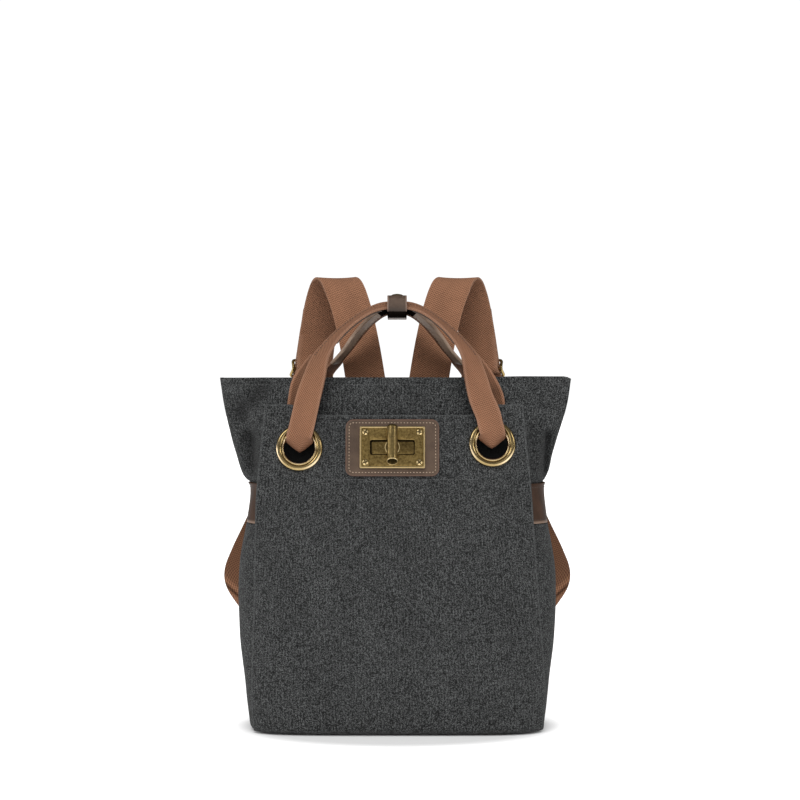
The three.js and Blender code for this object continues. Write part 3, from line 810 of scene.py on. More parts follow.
@dataclass(frozen=True)
class LeatherFinish:
    """Brown grained leather with lighter cut edges."""

    name: str
    deep: Colour = (0.034, 0.0205, 0.013)
    face: Colour = (0.060, 0.038, 0.025)
    cut: Colour = (0.078, 0.044, 0.030)
    painted_shade: Colour = (0.008, 0.006, 0.005)
    grain: float = 0.0011
    clouds: float = 60.0
    pores: float = 1800.0
    relief: float = 0.00016
    rough_low: float = 0.42
    rough_high: float = 0.62
    specular: float = 0.3

    def build(self) -> Material:
        """Make the material.

        Returns:
            The material.
        """
        sketch = NodeSketch(self.name)
        place = sketch.coordinates("Object")
        cloud = sketch.noise(place, (self.clouds,) * 3, detail=4.0, rough=0.6)
        tone = sketch.ramp(cloud, ((0.32, self.deep), (0.68, self.face)))
        # Marks above 0 take the cut edges' colour, also used as a painted highlight on the keeper. Marks
        # below 0 take painted shade.
        cut = sketch.mix(sketch.edge(), tone, self.cut)
        sketch.paint(sketch.mix(sketch.edge(-1.0), cut, self.painted_shade))
        cells = sketch.add("ShaderNodeTexVoronoi", feature="SMOOTH_F1")
        cells.inputs["Scale"].default_value = 1 / self.grain
        sketch.join(place, cells.inputs["Vector"])
        fine = sketch.noise(place, (self.pores,) * 3)
        relief = sketch.math("ADD", cells.outputs["Distance"], sketch.math("MULTIPLY", fine, 0.5))
        sketch.bump(relief, self.relief, 0.7)
        sketch.roughness(cloud, self.rough_low, self.rough_high)
        sketch.shader.inputs["Specular IOR Level"].default_value = self.specular
        return sketch.material


@dataclass(frozen=True)
class BrassFinish:
    """Antique brass: darkened in patches, with painted highlights where the edge attribute is above 0 and
    painted shade where it is below.
    """

    name: str
    patina: Colour = (0.09, 0.057, 0.018)
    bright: Colour = (0.43, 0.30, 0.108)
    painted_highlight: Colour = (0.90, 0.70, 0.36)
    painted_shade: Colour = (0.016, 0.011, 0.005)
    rough_low: float = 0.28
    rough_high: float = 0.45
    mottle: float = 0.0022
    pits: float = 0.00005
    pit_grain: float = 2600.0
    wear_and_highlight: float = 0.8

    def build(self) -> Material:
        """Make the material.

        Returns:
            The material.
        """
        sketch = NodeSketch(self.name)
        place = sketch.coordinates("Object")
        cloud = sketch.noise(place, (1 / self.mottle,) * 3, detail=5.0, rough=0.65)
        tone = sketch.ramp(cloud, ((0.28, self.patina), (0.68, self.bright)))
        # Painted highlights and painted shade from the edge attribute.
        worn_and_highlit = sketch.mix(sketch.edge(self.wear_and_highlight), tone, self.painted_highlight)
        sketch.paint(sketch.mix(sketch.edge(-1.0), worn_and_highlit, self.painted_shade))
        pits = sketch.noise(place, (self.pit_grain,) * 3)
        sketch.bump(pits, self.pits, 0.6)
        sketch.roughness(cloud, self.rough_high, self.rough_low)
        sketch.shader.inputs["Metallic"].default_value = 1.0
        return sketch.material


@dataclass(frozen=True)
class ThreadFinish:
    """Sewing thread with a fine twist."""

    name: str
    shade: Colour
    tint: Colour
    twist: float = 2200.0
    relief: float = 0.0001

    def build(self) -> Material:
        """Make the material.

        Returns:
            The material.
        """
        sketch = NodeSketch(self.name)
        place = sketch.coordinates("Object")
        twist = sketch.noise(place, (self.twist,) * 3)
        sketch.paint(sketch.ramp(twist, ((0.3, self.shade), (0.7, self.tint))))
        sketch.bump(twist, self.relief)
        sketch.shader.inputs["Roughness"].default_value = 0.8
        return sketch.material


@dataclass
class Finishes:
    """All finishes of the bag, made once."""

    canvas: Material = field(init=False)
    pocket_cloth: Material = field(init=False)
    webbing: Material = field(init=False)
    strap: Material = field(init=False)
    strap_outer: Material = field(init=False)
    leather: Material = field(init=False)
    band_leather: Material = field(init=False)
    keeper_leather: Material = field(init=False)
    shaded: Material = field(init=False)
    lining: Material = field(init=False)
    pale_lining: Material = field(init=False)
    brass: Material = field(init=False)
    bar_brass: Material = field(init=False)
    polished: Material = field(init=False)
    dark_thread: Material = field(init=False)
    cream_thread: Material = field(init=False)
    tan_thread: Material = field(init=False)
    brown_thread: Material = field(init=False)

    def __post_init__(self) -> None:
        """Make every material."""
        self.canvas = CanvasFinish("charcoal_canvas").build()
        # Near-black cloth for the wall behind the front panel: painted shade, so the eyelets look dark
        # inside.
        black = (0.002, 0.002, 0.002)
        self.pocket_cloth = CanvasFinish("painted_shade_behind_panel", black, black, (0.006, 0.006, 0.006)).build()
        self.webbing = WebbingFinish("handle_webbing", rib=(0.215, 0.105, 0.061), pitch=0.0016).build()
        self.strap = WebbingFinish("strap_webbing").build()
        # The strap's outer face uses the same webbing without the painted shade of the low loop.
        self.strap_outer = WebbingFinish("strap_outer_webbing", shade=0.0).build()
        self.leather = LeatherFinish("brown_leather").build()
        self.band_leather = LeatherFinish(
            "dark_leather", (0.024, 0.0115, 0.006), (0.044, 0.021, 0.0115), (0.21, 0.14, 0.10), specular=0.15
        ).build()
        self.keeper_leather = LeatherFinish(
            "keeper_leather", (0.040, 0.025, 0.017), (0.072, 0.047, 0.033), (0.17, 0.115, 0.09)
        ).build()
        self.shaded = LeatherFinish(
            "shaded_leather", (0.003, 0.0024, 0.002), (0.006, 0.0045, 0.0036), (0.004, 0.003, 0.0025),
            specular=0.0,
        ).build()
        self.lining = LeatherFinish(
            "lining_leather", (0.020, 0.014, 0.011), (0.036, 0.026, 0.020), (0.05, 0.036, 0.028)
        ).build()
        # Pale leather of the rear handle's lining: partly its own colour, partly a painted highlight raising
        # it so its downward face looks lit.
        self.pale_lining = LeatherFinish(
            "pale_lining_leather", (0.20, 0.135, 0.095), (0.32, 0.23, 0.17), (0.32, 0.23, 0.17), specular=0.15
        ).build()
        self.brass = BrassFinish("antique_brass").build()
        self.bar_brass = BrassFinish("bar_brass", (0.063, 0.040, 0.0125), (0.30, 0.21, 0.074)).build()
        self.polished = BrassFinish(
            "polished_brass", (0.27, 0.187, 0.062), (0.42, 0.305, 0.13), (0.95, 0.76, 0.50),
            rough_low=0.17, rough_high=0.24, mottle=0.008, pits=0.000002,
        ).build()
        self.dark_thread = ThreadFinish("charcoal_thread", (0.02, 0.02, 0.02), (0.06, 0.06, 0.06)).build()
        self.cream_thread = ThreadFinish("cream_thread", (0.20, 0.145, 0.10), (0.36, 0.275, 0.20)).build()
        self.tan_thread = ThreadFinish("tan_thread", (0.24, 0.15, 0.10), (0.36, 0.24, 0.17)).build()
        self.brown_thread = ThreadFinish("brown_thread", (0.020, 0.012, 0.008), (0.055, 0.033, 0.023)).build()


def new_mesh() -> Mesh:
    """Empty mesh with the layers that the finishes read.

    Returns:
        The mesh.
    """
    bm = bmesh.new()
    bm.loops.layers.uv.new(UV_LAYER)
    bm.verts.layers.float.new(EDGE_AND_PAINTED_LIGHT_LAYER)
    return bm


def mark_points(bm: Mesh, value: Callable[[Vector], float]) -> None:
    """Set the edge attribute of every point of a mesh.

    Args:
        bm: The mesh.
        value: The attribute's value from a point's place.
    """
    mark = bm.verts.layers.float[EDGE_AND_PAINTED_LIGHT_LAYER]
    for vert in bm.verts:
        vert[mark] = value(vert.co)


def ray(angle: float) -> Vector:
    """Flat direction at an angle from x towards y."""
    return Vector((math.cos(angle), math.sin(angle)))


def cloth_grid(
    columns: int,
    rows: int,
    point: Callable[[float, float], Vector],
    flat: tuple[float, float],
    edge: Callable[[float, float], float] | None = None,
) -> Mesh:
    """Sheet of cloth: a grid whose points are moved to their places.

    Args:
        columns: Squares across.
        rows: Squares along.
        point: Place of a point from its shares across and along, 0 to 1.
        flat: Width and length of the flat cloth in metres.
        edge: Value of the edge attribute from the same shares.

    Returns:
        The mesh.
    """
    bm = new_mesh()
    bmesh.ops.create_grid(bm, x_segments=columns, y_segments=rows, size=0.5)
    uv = bm.loops.layers.uv[UV_LAYER]
    mark = bm.verts.layers.float[EDGE_AND_PAINTED_LIGHT_LAYER]
    places = [[point(c / columns, r / rows) for c in range(columns + 1)] for r in range(rows + 1)]
    across = [length_shares(row) for row in places]
    along = length_shares([row[columns // 2] for row in places])
    cells = {vert: (round((vert.co.x + 0.5) * columns), round((vert.co.y + 0.5) * rows)) for vert in bm.verts}
    for face in bm.faces:
        for loop in face.loops:
            column, row = cells[loop.vert]
            loop[uv].uv = (across[row][column] * flat[0], along[row] * flat[1])
    for vert, (column, row) in cells.items():
        vert[mark] = edge(column / columns, row / rows) if edge else 0.0
        vert.co = places[row][column]
    return bm


def length_shares(points: Sequence[Vector]) -> list[float]:
    """Share of a line's length at each of its points.

    Args:
        points: The line.

    Returns:
        Shares from 0 to 1.
    """
    reach = [0.0]
    for a, b in zip(points, points[1:]):
        reach.append(reach[-1] + (b - a).length)
    return [length / max(reach[-1], 1e-9) for length in reach]


def add_piece(
    name: str,
    bm: Mesh,
    finish: Material,
    slot: Slot,
    nodes: Sequence[str] = (),
    body: BodyName = BodyName.BAG,
    sharp: float = 40.0,
) -> bpy.types.Object:
    """Turn a mesh into a piece of the bag.

    Args:
        name: Name of the piece.
        bm: Its mesh, in the frame's metres; it is freed.
        finish: Its material.
        slot: The record's slot that the finish belongs to; not used.
        nodes: CAD nodes that the piece stands for.
        body: Body that it rides on.
        sharp: Angle in degrees above which an edge stays sharp.

    Returns:
        The piece.
    """
    mesh = bpy.data.meshes.new(name)
    bm.normal_update()
    bm.to_mesh(mesh)
    bm.free()
    mesh.materials.append(finish)
    mesh.shade_smooth()
    mesh.set_sharp_from_angle(angle=math.radians(sharp))
    piece = bpy.data.objects.new(name, mesh)
    bpy.context.scene.collection.objects.link(piece)
    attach(piece, body.value)
    if nodes:
        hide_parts(*nodes)
    LOG.info("%s: %d faces", name, len(mesh.polygons))
    return piece


def shade_faces(
    piece: bpy.types.Object, finish: Material, chosen: Callable[[Vector], bool]
) -> None:
    """Give some faces of a piece a second material.

    Args:
        piece: The piece.
        finish: The second material.
        chosen: Whether a face takes it, from its middle in the drawing's millimetres.
    """
    piece.data.materials.append(finish)
    for face in piece.data.polygons:
        if chosen(face.center / MM - DRAWING_SHIFT):
            face.material_index = 1


def thicken(piece: bpy.types.Object, thickness: float, offset: float, edge: float) -> None:
    """Give a sheet its thickness and soft edges.

    Args:
        piece: The sheet.
        thickness: Thickness in millimetres.
        offset: -1 puts the thickness behind the sheet, 0 on both sides of it.
        edge: Rounding of the edges in millimetres.
    """
    wall = piece.modifiers.new("thickness", "SOLIDIFY")
    wall.thickness = thickness * MM
    wall.offset = offset
    soft = piece.modifiers.new("soft_edge", "BEVEL")
    soft.width = edge * MM
    soft.segments = 2
    soft.limit_method = "ANGLE"
    soft.angle_limit = math.radians(50.0)


def rounded_slab(
    width: float, height: float, corner: float, low: float, high: float, edge: float
) -> Mesh:
    """Flat plate with rounded corners and a rounded top edge, in a seat's millimetres.

    Args:
        width: Size along x.
        height: Size along y.
        corner: Radius of the corners.
        low: Height of the underside.
        high: Height of the top.
        edge: Rounding of the top edge.

    Returns:
        The mesh.
    """
    bm = new_mesh()
    bmesh.ops.create_cube(bm, size=1.0)
    bmesh.ops.scale(bm, vec=(width, height, high - low), verts=bm.verts)
    bmesh.ops.translate(bm, vec=(0.0, 0.0, (low + high) / 2), verts=bm.verts)
    upright = [e for e in bm.edges if abs(e.verts[0].co.z - e.verts[1].co.z) > (high - low) / 2]
    bmesh.ops.bevel(
        bm, geom=upright, offset=corner, segments=8, profile=0.5, affect="EDGES", material=-1
    )
    top = max(bm.faces, key=lambda face: face.calc_center_median().z)
    bmesh.ops.bevel(
        bm, geom=list(top.edges), offset=edge, segments=3, profile=0.5, affect="EDGES", material=-1
    )
    mark_points(bm, lambda place: 1.0)
    top = max(bm.faces, key=lambda face: (face.calc_center_median().z, face.calc_area()))
    bmesh.ops.inset_region(bm, faces=[top], thickness=0.5 * edge, use_even_offset=True)
    mark = bm.verts.layers.float[EDGE_AND_PAINTED_LIGHT_LAYER]
    for vert in top.verts:
        vert[mark] = 0.0
    return bm


def turned(
    bm: Mesh, profile: Sequence[tuple[float, float]], axis: str = "Z", steps: int = 48
) -> None:
    """Add a round shape by turning a profile about an axis, in a seat's millimetres.

    Args:
        bm: Mesh to add to.
        profile: Radius and height of each point.
        axis: Y or Z, the axis that height runs along.
        steps: Steps of the full turn.
    """
    spots = [(r, h, 0.0) if axis == "Y" else (r, 0.0, h) for r, h in profile]
    verts = [bm.verts.new(spot) for spot in spots]
    edges = [bm.edges.new(pair) for pair in zip(verts, verts[1:])]
    turn_axis = (0.0, 1.0, 0.0) if axis == "Y" else (0.0, 0.0, 1.0)
    bmesh.ops.spin(
        bm, geom=verts + edges, cent=(0.0, 0.0, 0.0), axis=turn_axis,
        angle=2 * math.pi, steps=steps, use_merge=True,
    )
    bmesh.ops.remove_doubles(bm, verts=bm.verts, dist=MERGE)
    bmesh.ops.recalc_face_normals(bm, faces=bm.faces)


def outline_loop(bm: Mesh, points: Sequence[Vector], z: float) -> list[bmesh.types.BMEdge]:
    """Closed loop of edges through flat points at a height.

    Args:
        bm: Mesh to add to.
        points: The outline.
        z: Height.

    Returns:
        The edges.
    """
    verts = [bm.verts.new((p.x, p.y, z)) for p in points]
    return [bm.edges.new((a, b)) for a, b in zip(verts, verts[1:] + verts[:1])]


def raise_faces(bm: Mesh, faces: Sequence[bmesh.types.BMFace], height: float) -> None:
    """Extrude flat faces upwards into a solid.

    Args:
        bm: The mesh.
        faces: The flat faces.
        height: How far they rise.
    """
    made = bmesh.ops.extrude_face_region(bm, geom=list(faces), use_keep_orig=True)
    verts = [item for item in made["geom"] if isinstance(item, bmesh.types.BMVert)]
    bmesh.ops.translate(bm, vec=(0.0, 0.0, height), verts=verts)
    bmesh.ops.recalc_face_normals(bm, faces=bm.faces)


def raise_outlines(
    bm: Mesh, outlines: Sequence[Sequence[Vector]], low: float, high: float
) -> None:
    """Fill flat outlines, the inner ones as holes, and raise them into a solid.

    Args:
        bm: Mesh to add to.
        outlines: The outlines.
        low: Height of the underside.
        high: Height of the top.
    """
    edges = [edge for outline in outlines for edge in outline_loop(bm, outline, low)]
    filled = bmesh.ops.triangle_fill(bm, use_beauty=True, edges=edges)["geom"]
    raise_faces(bm, [item for item in filled if isinstance(item, bmesh.types.BMFace)], high - low)


def soften_crest(bm: Mesh, z: float, width: float, segments: int) -> None:
    """Bevel the edges round a flat top.

    Args:
        bm: The mesh.
        z: Height of the top.
        width: Width of the bevel.
        segments: Its segments.
    """
    crest = [
        e
        for e in bm.edges
        if all(abs(v.co.z - z) < MERGE for v in e.verts) and e.calc_face_angle(0.0) > 1.0
    ]
    bmesh.ops.bevel(
        bm, geom=crest, offset=width, segments=segments, profile=0.5, affect="EDGES", material=-1
    )


def rounded_outline(width: float, height: float, corner: float, steps: int = 6) -> list[Vector]:
    """Rounded rectangle about the origin.

    Args:
        width: Size along x.
        height: Size along y.
        corner: Radius of the corners.
        steps: Steps of each corner.

    Returns:
        The outline, turning from x to y.
    """
    points = []
    for quarter, (sx, sy) in enumerate(((1, 1), (-1, 1), (-1, -1), (1, -1))):
        centre = Vector((sx * (width / 2 - corner), sy * (height / 2 - corner)))
        for k in range(steps + 1):
            points.append(centre + corner * ray((quarter + k / steps) * math.pi / 2))
    return points


def wire_mesh(points: Sequence[Vector], radius: float, closed: bool) -> Mesh:
    """Round wire along a path.

    Args:
        points: The path in metres.
        radius: Radius of the wire in metres.
        closed: Whether the path is a loop.

    Returns:
        The mesh.
    """
    curve = bpy.data.curves.new("wire_path", "CURVE")
    curve.dimensions = "3D"
    curve.bevel_depth = radius
    curve.bevel_resolution = 4
    curve.use_fill_caps = True
    spline = curve.splines.new("POLY")
    spline.points.add(len(points) - 1)
    for spot, point in zip(spline.points, points):
        spot.co = (*point, 1.0)
    spline.use_cyclic_u = closed
    holder = bpy.data.objects.new("wire_path", curve)
    mesh = bpy.data.meshes.new_from_object(holder)
    bm = new_mesh()
    bm.from_mesh(mesh)
    bpy.data.objects.remove(holder)
    bpy.data.curves.remove(curve)
    bpy.data.meshes.remove(mesh)
    return bm


def rounded_path(corners: Sequence[Vector], radius: float, steps: int = 6) -> list[Vector]:
    """Closed path whose corners are rounded.

    Args:
        corners: Corners of the loop.
        radius: Distance from a corner at which its bend starts.
        steps: Steps of each bend.

    Returns:
        Points of the path.
    """
    points = []
    count = len(corners)
    for k, corner in enumerate(corners):
        before, after = corners[k - 1], corners[(k + 1) % count]
        start = corner + (before - corner).normalized() * min(radius, (before - corner).length / 2)
        end = corner + (after - corner).normalized() * min(radius, (after - corner).length / 2)
        for step in range(steps + 1):
            t = step / steps
            points.append((1 - t) ** 2 * start + 2 * t * (1 - t) * corner + t * t * end)
    return points


@dataclass(frozen=True)
class Thread:
    """Length, spacing and radius of sewn stitches, in millimetres."""

    stitch: float = 2.6
    pitch: float = 3.4
    radius: float = 0.38

    def sew(self, bm: Mesh, places: Sequence[Place]) -> None:
        """Add stitches along a line.

        Args:
            bm: Mesh to add to.
            places: Points of the line in metres, each with the surface's normal.
        """
        size = Matrix.Diagonal((self.stitch / 2, self.radius, 0.8 * self.radius, 1.0)) * MM
        size[3][3] = 1.0
        travelled, due = 0.0, self.pitch * MM / 2
        for (a, out_a), (b, out_b) in zip(places, places[1:]):
            span = (b - a).length
            while span > 0 and due <= travelled + span:
                share = (due - travelled) / span
                along = (b - a).normalized()
                side = out_a.lerp(out_b, share).cross(along).normalized()
                turn = Matrix((along, side, along.cross(side))).transposed().to_4x4()
                place = Matrix.Translation(a.lerp(b, share)) @ turn @ size
                bmesh.ops.create_icosphere(bm, subdivisions=1, radius=1.0, matrix=place)
                due += self.pitch * MM
            travelled += span


def surface_line(
    surface: Callable[[float, float], Vector],
    start: tuple[float, float],
    end: tuple[float, float],
    samples: int,
    lift: float = 0.0,
) -> list[Place]:
    """Points and normals along a straight line in a surface's own shares.

    Args:
        surface: Place of a point from its two shares.
        start: Shares at the start.
        end: Shares at the end.
        samples: Number of spans.
        lift: Distance above the surface in metres.

    Returns:
        Points with normals.
    """
    places = []
    reach = 1e-3
    for k in range(samples + 1):
        u = blend(start[0], end[0], k / samples)
        v = blend(start[1], end[1], k / samples)
        across = surface(min(u + reach, 1.0), v) - surface(max(u - reach, 0.0), v)
        along = surface(u, min(v + reach, 1.0)) - surface(u, max(v - reach, 0.0))
        out = across.cross(along).normalized()
        places.append((surface(u, v) + lift * out, out))
    return places


@dataclass
class Ribbon:
    """A flat band along smooth rows."""

    rows: Sequence[BandRow]
    width: float
    thickness: float
    lift: float = 0.0
    first: int = 0
    last: int | None = None
    shift: float = 0.0
    sags: tuple[tuple[float, float], ...] = ()
    wrap: float = math.inf
    selvedge: float = 1.0
    covered: tuple[tuple[float, float], ...] = ()
    cover_shade: float = -0.45
    per_row: int = 8
    columns: int = 8

    def __post_init__(self) -> None:
        """Work out the band's frames along its length."""
        end = len(self.rows) - 1 if self.last is None else self.last
        middles = [Vector((row.x, row.y, row.z)) for row in self.rows]
        acrosses = [Vector(row.across) for row in self.rows]
        spans = len(self.rows) - 1
        self.frames: list[tuple[Vector, Vector, Vector]] = []
        for k in range(self.first * self.per_row, end * self.per_row + 1):
            t = k / (self.per_row * spans)
            tangent = (spline_point(middles, t + 1e-4) - spline_point(middles, t - 1e-4)).normalized()
            side = spline_point(acrosses, t)
            side = (side - side.dot(tangent) * tangent).normalized()
            normal = tangent.cross(side)
            middle = spline_point(middles, t) + self.lift * normal + self.shift * side
            self.frames.append((at(*middle), side, normal))

    @property
    def length(self) -> float:
        """Length of the band in metres."""
        return sum((b[0] - a[0]).length for a, b in zip(self.frames, self.frames[1:]))

    def mesh(self) -> Mesh:
        """The band's middle surface, its map as long as the band itself.

        Returns:
            The mesh.
        """
        rows = len(self.frames) - 1

        def point(across: float, along: float) -> Vector:
            """Place of a point of the band, turned up where it wraps the layer above.

            Args:
                across: Share across the band.
                along: Share along it.

            Returns:
                Place in metres.
            """
            middle, side, normal = self.frames[round(along * rows)]
            reach = (across - 0.5) * self.width
            over = max(0.0, -self.wrap - self.shift - reach)
            drop = self.sag(self.first + along * rows / self.per_row, 2 * across - 1)
            return middle + MM * ((reach + over) * side + over * normal - Vector((0.0, 0.0, drop)))

        def edge(across: float, along: float) -> float:
            """The selvedge's mark along both edges, and the painted shade of covered rows.

            Args:
                across: Share across the band.
                along: Share along it.

            Returns:
                Value of the edge attribute.
            """
            row = self.first + along * rows / self.per_row
            under = any(low <= row <= high for low, high in self.covered)
            plain = self.cover_shade if under else 0.0
            return self.selvedge if min(across, 1.0 - across) < 0.01 else plain

        return cloth_grid(self.columns, rows, point, (self.width * MM, self.length), edge)

    def sag(self, row: float, across: float) -> float:
        """How far the band droops into a fold across it.

        Args:
            row: Place along the rows.
            across: Place across the band, -1 to 1.

        Returns:
            Drop in millimetres, largest in the middle of the band.
        """
        drop = 0.0
        for fold, depth in self.sags:
            near = 1.0 - ease(abs(row - fold), 0.4, 2.4)
            drop += near * depth * (1.0 - 1.6 * abs(across) ** 1.2)
        return drop

    def line(self, across: float, face: float, first: int = 0, last: int | None = None) -> list[Place]:
        """Points and normals along the band.

        Args:
            across: Place across the band in millimetres from its middle.
            face: 1 for the face along the normal, -1 for the other.
            first: First frame.
            last: Last frame.

        Returns:
            Points with normals.
        """
        chosen = self.frames[first : len(self.frames) if last is None else last + 1]
        reach = face * self.thickness / 2
        return [(m + MM * (across * s + reach * n), face * n) for m, s, n in chosen]


@dataclass
class Studio:
    """Camera, floor and soft light."""

    camera_place: tuple[float, float, float] = (0.0027, -1.5807, 0.304)
    lens_mm: float = 75.0
    sensor_mm: float = 36.0
    floor_half: float = 30.0
    key_strength: float = 4.35
    key_spread: float = 60.0
    key_tilt: float = 50.0
    key_turn: float = -5.0
    glints: tuple[tuple[float, float, float, float], ...] = (
        (0.6, 24.0, 52.0, -52.0),
        (0.4, 18.0, 66.0, 56.0),
        (0.12, 30.0, 58.0, -5.0),
        (2.4, 56.0, 106.0, -84.0),
        (2.0, 50.0, 116.0, 66.0),
    )
    ambient: float = 0.17
    top_strength: float = 0.9
    top_spread: float = 100.0
    top_tilt: float = -35.0
    floor_glow: float = 0.6
    floor_shade: tuple[float, float] = (0.108, 0.066)
    floor_ahead: float = 0.03
    floor_fade: tuple[float, float] = (1.15, 1.6)
    floor_tones: tuple[float, float] = (0.65, 0.67)
    backdrop: float = 1.05
    far: float = 200.0

    def build(self) -> None:
        """Make the camera, the floor and the lights."""
        self.make_camera()
        self.make_floor()
        self.make_light()

    def make_camera(self) -> None:
        """Level camera in front of the bag."""
        lens = bpy.data.cameras.new("camera")
        lens.lens = self.lens_mm
        lens.sensor_width = self.sensor_mm
        lens.clip_end = self.far
        camera = bpy.data.objects.new("camera", lens)
        camera.location = self.camera_place
        camera.rotation_euler = (math.pi / 2, 0.0, 0.0)
        bpy.context.scene.collection.objects.link(camera)
        bpy.context.scene.camera = camera

    def make_floor(self) -> None:
        """Wide pale floor that glows a little, less so near the bag."""
        bm = bmesh.new()
        bmesh.ops.create_grid(bm, x_segments=8, y_segments=8, size=self.floor_half)
        mesh = bpy.data.meshes.new("floor")
        bm.to_mesh(mesh)
        bm.free()
        sketch = NodeSketch("pale_floor")
        grain = sketch.noise(sketch.coordinates("Object"), (3.0, 3.0, 3.0))
        low, high = self.floor_tones
        sketch.paint(sketch.ramp(grain, ((0.0, (low,) * 3), (1.0, (high,) * 3))))
        reach = sketch.add("ShaderNodeVectorMath", operation="LENGTH")
        wide, deep = self.floor_shade
        ahead = sketch.add("ShaderNodeVectorMath", operation="ADD")
        ahead.inputs[1].default_value = (0.0, self.floor_ahead, 0.0)
        sketch.join(sketch.coordinates("Object"), ahead.inputs[0])
        sketch.join(sketch.stretched(ahead.outputs[0], (1 / wide, 1 / deep, 0.0)), reach.inputs[0])
        glow = sketch.add("ShaderNodeMapRange", interpolation_type="SMOOTHSTEP")
        near, away = self.floor_fade
        for socket, value in (("From Min", near), ("From Max", away), ("To Max", self.floor_glow)):
            glow.inputs[socket].default_value = value
        sketch.join(reach.outputs["Value"], glow.inputs["Value"])
        sketch.join(glow.outputs["Result"], sketch.shader.inputs["Emission Strength"])
        sketch.shader.inputs["Roughness"].default_value = 1.0
        sketch.shader.inputs["Specular IOR Level"].default_value = 0.0
        sketch.shader.inputs["Emission Color"].default_value = (1.0, 1.0, 1.0, 1.0)
        mesh.materials.append(sketch.material)
        floor = bpy.data.objects.new("floor", mesh)
        bpy.context.scene.collection.objects.link(floor)
        floor.visible_shadow = False

    def make_sun(
        self, name: str, strength: float, spread: float, tilt: float, turn: float
    ) -> bpy.types.Object:
        """One distant light.

        Args:
            name: Name of the light.
            strength: Its strength.
            spread: How wide it looks, in degrees.
            tilt: Its angle from straight above towards the front, in degrees.
            turn: Its turn about Z, in degrees.

        Returns:
            The light.
        """
        sun = bpy.data.lights.new(name, "SUN")
        sun.energy = strength
        sun.angle = math.radians(spread)
        light = bpy.data.objects.new(name, sun)
        light.rotation_euler = (math.radians(tilt), 0.0, math.radians(turn))
        bpy.context.scene.collection.objects.link(light)
        return light

    def make_light(self) -> None:
        """Broad soft key, soft light from above, small lights that only glint, and an even surround."""
        key = self.make_sun("key", self.key_strength, self.key_spread, self.key_tilt, self.key_turn)
        key.visible_glossy = False
        top = self.make_sun("top", self.top_strength, self.top_spread, self.top_tilt, 0.0)
        top.visible_glossy = False
        for k, glint in enumerate(self.glints):
            light = self.make_sun(f"glint_{k + 1}", *glint)
            light.visible_diffuse = False
        world = bpy.data.worlds.new("surround")
        world.use_nodes = True
        tree = world.node_tree
        soft = tree.nodes["Background"]
        soft.inputs["Strength"].default_value = self.ambient
        soft.inputs["Color"].default_value = (1.0, 1.0, 1.0, 1.0)
        seen = tree.nodes.new("ShaderNodeBackground")
        seen.inputs["Color"].default_value = (1.0, 1.0, 1.0, 1.0)
        seen.inputs["Strength"].default_value = self.backdrop
        ray = tree.nodes.new("ShaderNodeLightPath")
        both = tree.nodes.new("ShaderNodeMixShader")
        tree.links.new(ray.outputs["Is Camera Ray"], both.inputs["Fac"])
        tree.links.new(soft.outputs["Background"], both.inputs[1])
        tree.links.new(seen.outputs["Background"], both.inputs[2])
        tree.links.new(both.outputs["Shader"], tree.nodes["World Output"].inputs["Surface"])
        bpy.context.scene.world = world
        bpy.context.scene.view_settings.view_transform = "Standard"


